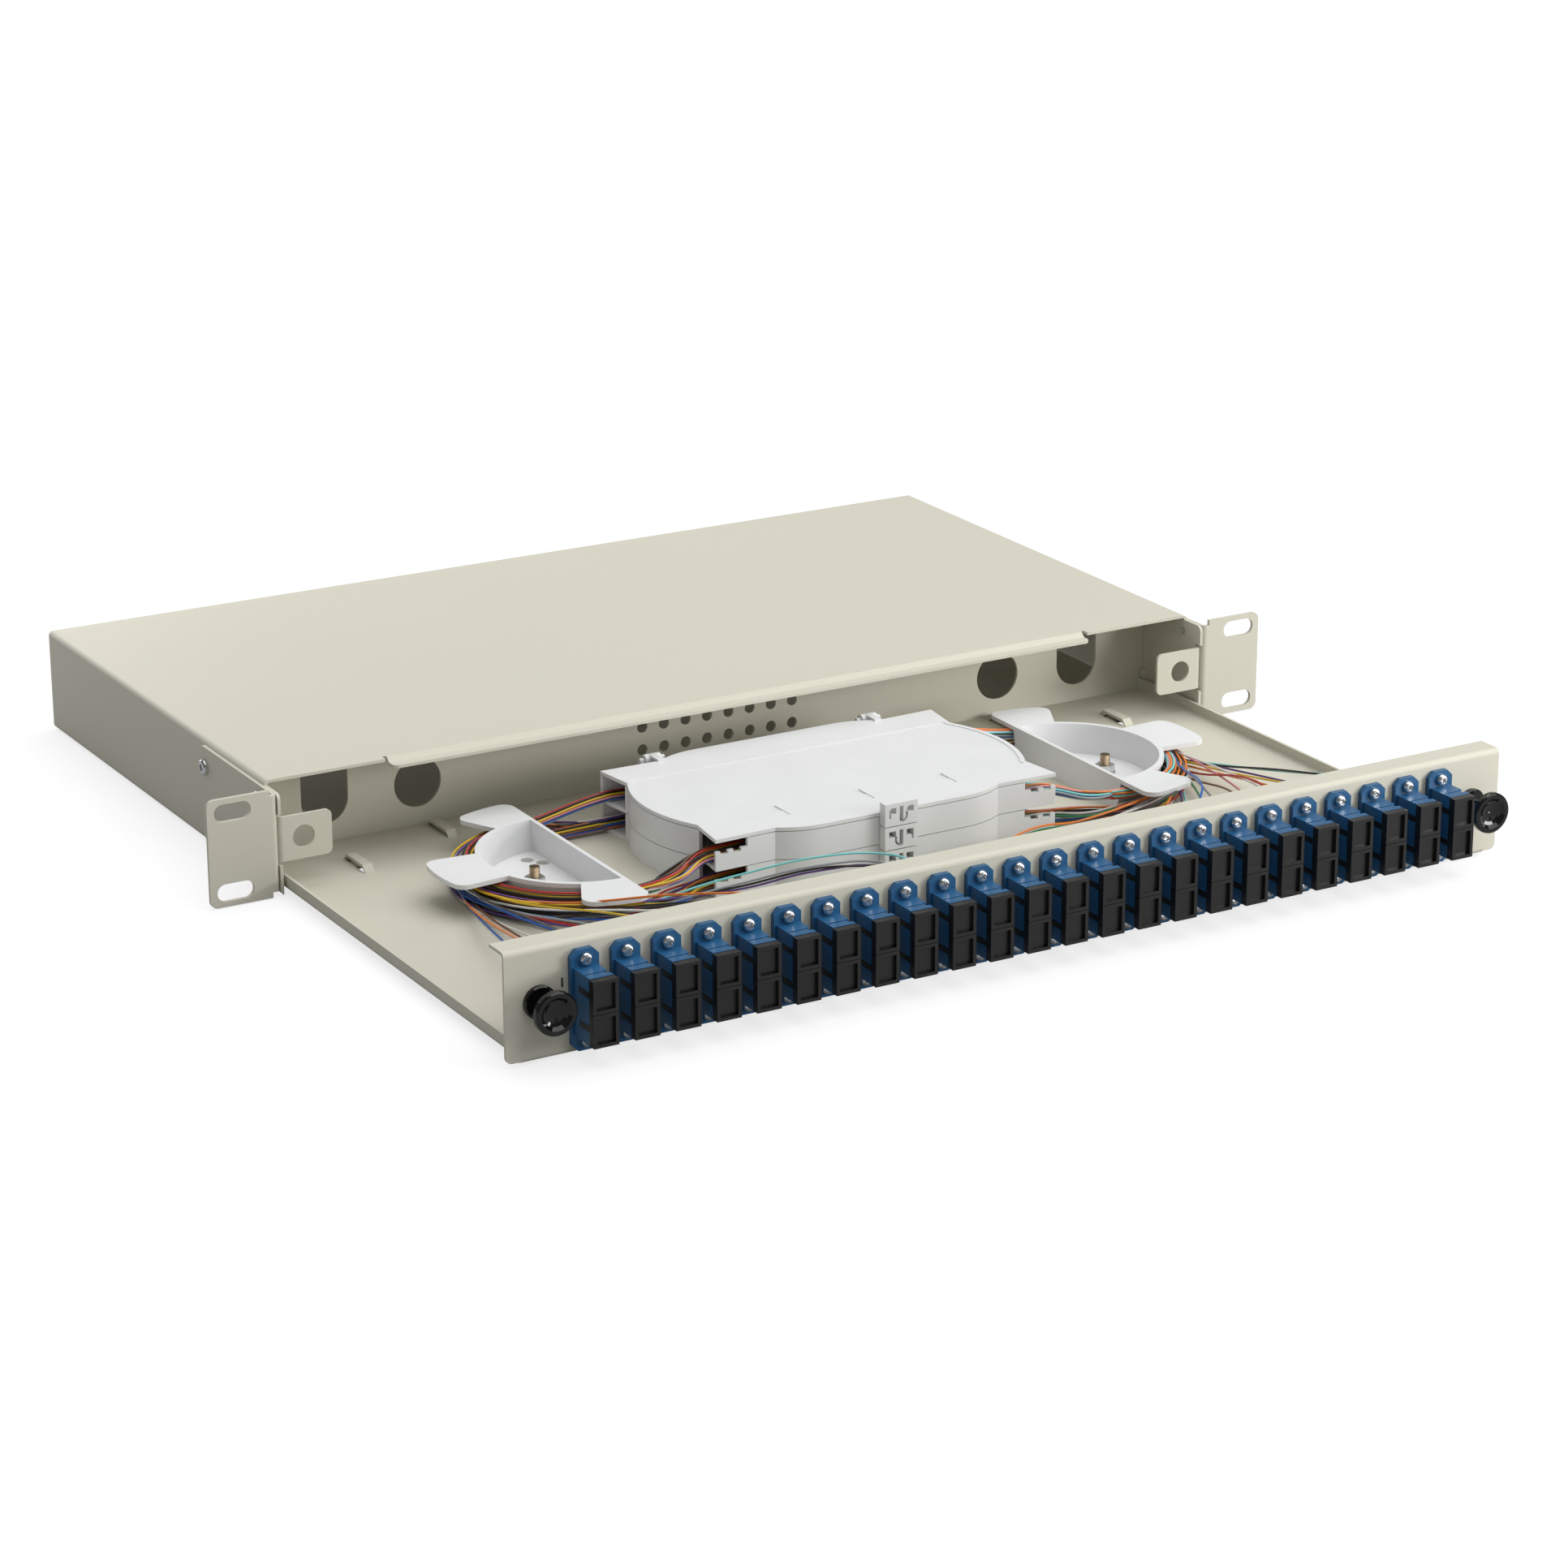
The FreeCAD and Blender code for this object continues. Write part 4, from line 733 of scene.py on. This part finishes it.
def white_world(strength, sheen):
    """White room to the camera, soft light to the box and a dim room in its mirrors."""
    world = bpy.data.worlds.new("Room")
    bpy.context.scene.world = world
    world.use_nodes = True
    tree = world.node_tree
    tree.nodes.clear()
    seen = add_node(tree, "ShaderNodeLightPath")
    soft = background(tree, (0.95, 0.97, 1.0, 1.0), strength)
    dim = background(tree, (1.0, 0.99, 0.97, 1.0), sheen)
    glossy = Sock(tree, seen.socket.node.outputs["Is Glossy Ray"])
    room = add_node(tree, "ShaderNodeMixShader", {}, {0: glossy, 1: soft, 2: dim})
    plain = background(tree, (1.0, 1.0, 1.0, 1.0), 1.0)
    mixed = add_node(tree, "ShaderNodeMixShader", {}, {0: seen, 1: room, 2: plain})
    add_node(tree, "ShaderNodeOutputWorld", {}, {"Surface": mixed})


# Operators


class SPLICE_OT_stage(bpy.types.Operator):
    """Sets the camera, the lamps, the white room and the pale floor"""

    bl_idname = "splice.stage"
    bl_label = "Stage"

    def execute(self, context):
        stage = settings("splice_stage")
        make_camera()
        white_world(stage.sky, stage.sheen)
        sun_lamp(SUN_FROM, stage.sun, stage.sun_angle)
        for name, place_at, target, size, power in LAMPS:
            area_lamp(name, place_at, target, size, getattr(stage, power))
        floor_z = CAD_BOX[0][2] - stage.floor_drop
        bpy.ops.mesh.primitive_plane_add(size=FLOOR_SIZE, location=(0, 0, floor_z))
        floor = bpy.context.object
        floor.name = "Floor"
        floor.data.materials.append(floor_material(stage.bounce, stage.glow))
        scene = bpy.context.scene
        scene.view_settings.view_transform = "Standard"
        scene.view_settings.look = "None"
        return {"FINISHED"}


SHEET_METAL = ["housing_shell", "ear_left", "ear_right", "drawer_tray", "drawer_rear_wall", "front_panel"]


class SPLICE_OT_sheet_metal(bpy.types.Operator):
    """Powder-coats the housing, ears, drawer and front panel"""

    bl_idname = "splice.sheet_metal"
    bl_label = "Sheet metal"

    def execute(self, context):
        coat = powder_coat("Powder coat", settings("splice_finish").coat[:])
        dress(SHEET_METAL, coat)
        return {"FINISHED"}


class SPLICE_OT_couplers(bpy.types.Operator):
    """Colours the couplers, their sleeves, nuts and dust caps"""

    bl_idname = "splice.couplers"
    bl_label = "Couplers"

    def execute(self, context):
        finish = settings("splice_finish")
        blue = moulded("Coupler blue", finish.blue[:], rough=0.34, grain_size=1400.0)
        black = moulded("Cap black", finish.black[:], rough=0.30, grain_size=1600.0)
        ceramic = moulded("Ceramic", (0.82, 0.81, 0.76), rough=0.2)
        zinc = plated("Nut zinc", finish.zinc[:], rough=0.32)
        dress([n for n in named("adapter_") if n[8:].isdigit()], blue)
        dress(named("dust_caps"), black)
        dress(["adapter_sleeves"], ceramic, edge=0.0)
        dress(["adapter_nuts"], zinc, edge=0.0)
        return {"FINISHED"}


class SPLICE_OT_plugs(bpy.types.Operator):
    """Colours the plugs and boots behind the panel"""

    bl_idname = "splice.plugs"
    bl_label = "Plugs"

    def execute(self, context):
        finish = settings("splice_finish")
        blue = moulded("Plug blue", finish.blue[:], rough=0.3)
        white = moulded("Boot white", finish.white[:], rough=0.5)
        dress(["pigtail_plugs"], blue)
        dress(["plug_boots"], white, edge=0.0)
        return {"FINISHED"}


class SPLICE_OT_latches(bpy.types.Operator):
    """Finishes the push-pull latches"""

    bl_idname = "splice.latches"
    bl_label = "Latches"

    def execute(self, context):
        deep = [part * 0.5 for part in settings("splice_finish").black]
        black = moulded("Latch black", deep, rough=0.06, grain_size=700.0, depth=0.000002)
        dress(named("latch_"), black, edge=0.00015)
        return {"FINISHED"}


class SPLICE_OT_white_parts(bpy.types.Operator):
    """Finishes the splice trays, combs, protectors and fibre guides"""

    bl_idname = "splice.white_parts"
    bl_label = "White parts"

    def execute(self, context):
        finish = settings("splice_finish")
        white = finish.white[:]
        tray = moulded("Tray white", white, rough=0.38, grain_size=600.0, depth=0.00003, clear=0.12)
        guide = moulded("Guide white", white, rough=0.42, grain_size=800.0, clear=0.12)
        comb = moulded("Comb grey", (0.22, 0.23, 0.24), rough=0.6)
        sleeve = moulded("Sleeve clear", (0.62, 0.66, 0.70), rough=0.15)
        dress(["splice_tray_lower", "splice_tray_upper", "splice_lid"], tray, edge=0.00018)
        dress(named("fibre_guide"), guide)
        dress(named("splice_comb"), comb, edge=0.0)
        dress(named("splice_protectors"), sleeve, edge=0.0)
        return {"FINISHED"}


class SPLICE_OT_fixings(bpy.types.Operator):
    """Finishes studs, washers, nuts and rivets"""

    bl_idname = "splice.fixings"
    bl_label = "Fixings"

    def execute(self, context):
        finish = settings("splice_finish")
        zinc = plated("Fixing zinc", finish.zinc[:], rough=0.3)
        brass = threaded("Stud brass", finish.brass[:], finish.pitch)
        dress(["guide_washers", "guide_nuts", "tray_rivets"], zinc, edge=0.0)
        dress(["guide_studs"], brass, edge=0.0)
        return {"FINISHED"}


class SPLICE_OT_screws(bpy.types.Operator):
    """Models the cross recess heads of the ear and coupler screws"""

    bl_idname = "splice.screws"
    bl_label = "Screws"

    def execute(self, context):
        screw = settings("splice_screw")
        zinc = plated("Screw zinc", settings("splice_finish").zinc[:], rough=0.22)
        self.small(screw, zinc)
        self.ear(screw, zinc)
        return {"FINISHED"}

    def small(self, screw, material):
        master = cross_head("small_master", screw.small_head, screw.small_rise, SMALL_SIDES)
        made = []
        for low, high in solid_boxes("adapter_screws"):
            copy = head_copy(master, low.x)
            middle = (low + high) / 2
            copy.data.transform(shift((middle.x, low.y + screw.small_rise, middle.z)))
            made.append(copy)
            made.append(shank(low, high, screw.small_rise, SMALL_SHANK_R, 1))
        bpy.data.objects.remove(master)
        whole = joined_screws(made, "adapter_screws_cross", material)
        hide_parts("adapter_screws")
        ride(whole, DRAWER)

    def ear(self, screw, material):
        master = cross_head("ear_master", screw.ear_head, screw.ear_rise, EAR_SIDES)
        made = []
        for low, high in solid_boxes("ear_screws"):
            side = 1.0 if low.x > 0 else -1.0
            copy = head_copy(master, low.z)
            copy.data.transform(turn_z(math.radians(90.0) * side))
            seat = high.x - screw.ear_rise if side > 0 else low.x + screw.ear_rise
            copy.data.transform(shift((seat, (low.y + high.y) / 2, (low.z + high.z) / 2)))
            made.append(copy)
            made.append(shank(low, high, screw.ear_rise, EAR_SHANK_R, 0))
        bpy.data.objects.remove(master)
        whole = joined_screws(made, "ear_screws_cross", material)
        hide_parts("ear_screws")
        ride(whole, HOUSING)


# The numeral: place across and up the panel, height, added boldness, half thickness and lift of the ink
NUMERAL_X = -0.1930
NUMERAL_Z = 0.0059
NUMERAL_SIZE = 0.0050
NUMERAL_BOLD = 0.00011
INK_HALF = 0.00002
INK_LIFT = 0.00003


class SPLICE_OT_numeral(bpy.types.Operator):
    """Prints the plain numeral by the first coupler"""

    bl_idname = "splice.numeral"
    bl_label = "Numeral"

    def execute(self, context):
        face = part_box("front_panel")[0][1]
        bpy.ops.object.text_add(location=(0, 0, 0))
        text = bpy.context.object
        text.name = "numeral_one"
        text.data.body = "1"
        text.data.size = NUMERAL_SIZE
        text.data.align_x = "CENTER"
        text.data.align_y = "CENTER"
        text.data.extrude = INK_HALF
        text.data.offset = NUMERAL_BOLD
        bpy.ops.object.convert(target="MESH")
        text = bpy.context.object
        text.rotation_euler = (math.pi / 2, 0, 0)
        text.location = (NUMERAL_X, face - INK_LIFT, NUMERAL_Z)
        settle(text)
        material, tree = new_material("Ink")
        speck = noise(tree, 4000.0)
        finish_shader(material, tree, {
            "Base Color": tint(tree, settings("splice_finish").ink[:], 0.6, speck),
            "Roughness": 0.5 + speck * 0.1,
        })
        text.data.materials.append(material)
        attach(text, DRAWER)
        return {"FINISHED"}


class SPLICE_OT_fibres(bpy.types.Operator):
    """Lays the coloured fibres round the guides and to the couplers"""

    bl_idname = "splice.fibres"
    bl_label = "Fibres"

    def execute(self, context):
        materials = {key: sheath("Fibre " + key, color) for key, color in FIBRE_COLORS.items()}
        for side, name in ((1, "right"), (-1, "left")):
            self.loops(side, name, materials)
            self.fan(side, name, materials)
        return {"FINISHED"}

    def loops(self, side, name, materials):
        """Two loose bundles for each tray, from its rear port round the guide to its front port."""
        chance = random.Random(11 if side > 0 else 23)
        hub_x, hub_y, floor = guide_hub()
        mid = stack_middle()
        for level, z_port, z_lane in LANES:
            colors = LOOP_COLORS[level + "_" + name]
            routes = []
            for n in range(LOOPS):
                out, up = bundle_offset(n)
                reach = LOOP_R + out + chance.uniform(0.0, 0.8) * MM
                z_in = floor + z_port + up
                z_on = floor + z_lane + up
                rear = mid + PORT_MID + PORT_SIDE + out
                front = mid - PORT_MID + out * 2.4
                points = [(X_PORT - INSIDE, rear, z_in), (X_PORT, rear, z_in)]
                for k in range(LOOP_STOPS):
                    a = math.radians(90.0 - LOOP_STEP * k)
                    rise = z_on + chance.uniform(-0.2, 0.4) * MM
                    points.append((hub_x + reach * math.cos(a), hub_y + reach * math.sin(a), rise))
                sag = chance.uniform(-3.5, 1.5) * MM
                points.append((X_PORT + 15 * MM, front - 4 * MM + sag, (z_in + z_on * 2) / 3))
                points.append((X_PORT, front, z_in))
                points.append((X_PORT - INSIDE, front + out, z_in + 0.8 * MM))
                points.append((X_PORT - 21 * MM, front + 1.5 * MM + out, z_in + 0.6 * MM))
                routes.append((colors[n % len(colors)], [(side * x, y, z) for x, y, z in points]))
            made = make_fibres("fibres_%s_%s" % (level, name), routes, materials)
            if level == "lower":
                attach(made, DRAWER)
                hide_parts("fibre_bundle_" + name)
            else:
                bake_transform(made)

    def fan(self, side, name, materials):
        """Fibres from the rear port round the guide, each leaving it straight for its own boot."""
        chance = random.Random(5 if side > 0 else 7)
        hub_x, hub_y, floor = guide_hub()
        mid = stack_middle()
        routes = []
        boots = [(low, high) for low, high in solid_boxes("plug_boots") if side * low.x > 0]
        for n, (low, high) in enumerate(boots):
            x = abs((low.x + high.x) / 2)
            z = (low.z + high.z) / 2
            y = high.y
            lane = FAN_R + chance.uniform(-0.8, 3.2) * MM
            lift = floor + FAN_LOW + chance.uniform(0, 1) * 9.0 * MM
            leave = leaving_angle(hub_x, hub_y, lane, x + chance.uniform(-6, 6) * MM, y + 12 * MM)
            out, up = bundle_offset(n % LOOPS)
            rear = mid + PORT_MID + PORT_SIDE + out
            z_in = floor + FAN_PORT + up * 1.3
            points = [(X_PORT - INSIDE, rear, z_in), (X_PORT, rear, z_in)]
            start = math.radians(FAN_START)
            steps = max(2, round((start - leave) / math.radians(FAN_STEP)))
            for k in range(steps + 1):
                a = start + (leave - start) * k / steps
                points.append((hub_x + lane * math.cos(a), hub_y + lane * math.sin(a), lift))
            last = points[-1]
            near = y + chance.uniform(14, 24) * MM
            share = (last[1] - near) / max(last[1] - y, 1e-6)
            x_near = last[0] + (x - last[0]) * share * 0.97
            colors = STRAY_COLORS[name] if x < STRAY_X else FAN_COLORS[name]
            if x < STRAY_X:
                drop = STRAY_DROP[name][n % 4]
                points += [(px * MM, py * MM, (pz - drop) * MM) for px, py, pz in STRAY]
            elif x < LOW_X:
                points.append((x + 9 * MM, y + 11 * MM, z - 6 * MM))
            else:
                arch = chance.uniform(-1.0, 4.0) * MM
                points.append((x_near, near, z * 0.75 + lift * 0.25 + arch))
            points.append((x, y + 3 * MM, z - 0.2 * MM))
            points.append((x, y - 4 * MM, z))
            routes.append((colors[n % len(colors)], [(side * px, py, pz) for px, py, pz in points]))
        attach(make_fibres("fibres_fan_" + name, routes, materials), DRAWER)


OPERATORS = [
    SPLICE_OT_stage,
    SPLICE_OT_sheet_metal,
    SPLICE_OT_couplers,
    SPLICE_OT_plugs,
    SPLICE_OT_latches,
    SPLICE_OT_white_parts,
    SPLICE_OT_fixings,
    SPLICE_OT_screws,
    SPLICE_OT_numeral,
    SPLICE_OT_fibres,
]


class SPLICE_PT_panel(bpy.types.Panel):
    """Sidebar panel with the sizes, colours and steps"""

    bl_idname = "SPLICE_PT_panel"
    bl_label = "Splice box"
    bl_space_type = "VIEW_3D"
    bl_region_type = "UI"
    bl_category = "Splice Box"

    def draw(self, context):
        for name, group in SETTINGS.items():
            column = self.layout.column(align=True)
            for key in group.__annotations__:
                column.prop(getattr(context.scene, name), key)
        for operator in OPERATORS:
            self.layout.operator(operator.bl_idname)


def register():
    for group in SETTINGS.values():
        bpy.utils.register_class(group)
    for name, group in SETTINGS.items():
        setattr(bpy.types.Scene, name, bpy.props.PointerProperty(type=group))
    for operator in OPERATORS:
        bpy.utils.register_class(operator)
    bpy.utils.register_class(SPLICE_PT_panel)


def unregister():
    bpy.utils.unregister_class(SPLICE_PT_panel)
    for operator in reversed(OPERATORS):
        bpy.utils.unregister_class(operator)
    for name in SETTINGS:
        delattr(bpy.types.Scene, name)
    for group in SETTINGS.values():
        bpy.utils.unregister_class(group)


def main():
    register()
    bpy.ops.splice.stage()
    bpy.ops.splice.sheet_metal()
    bpy.ops.splice.couplers()
    bpy.ops.splice.plugs()
    bpy.ops.splice.latches()
    bpy.ops.splice.white_parts()
    bpy.ops.splice.fixings()
    bpy.ops.splice.screws()
    bpy.ops.splice.numeral()
    bpy.ops.splice.fibres()


if __name__ == "__main__":
    main()
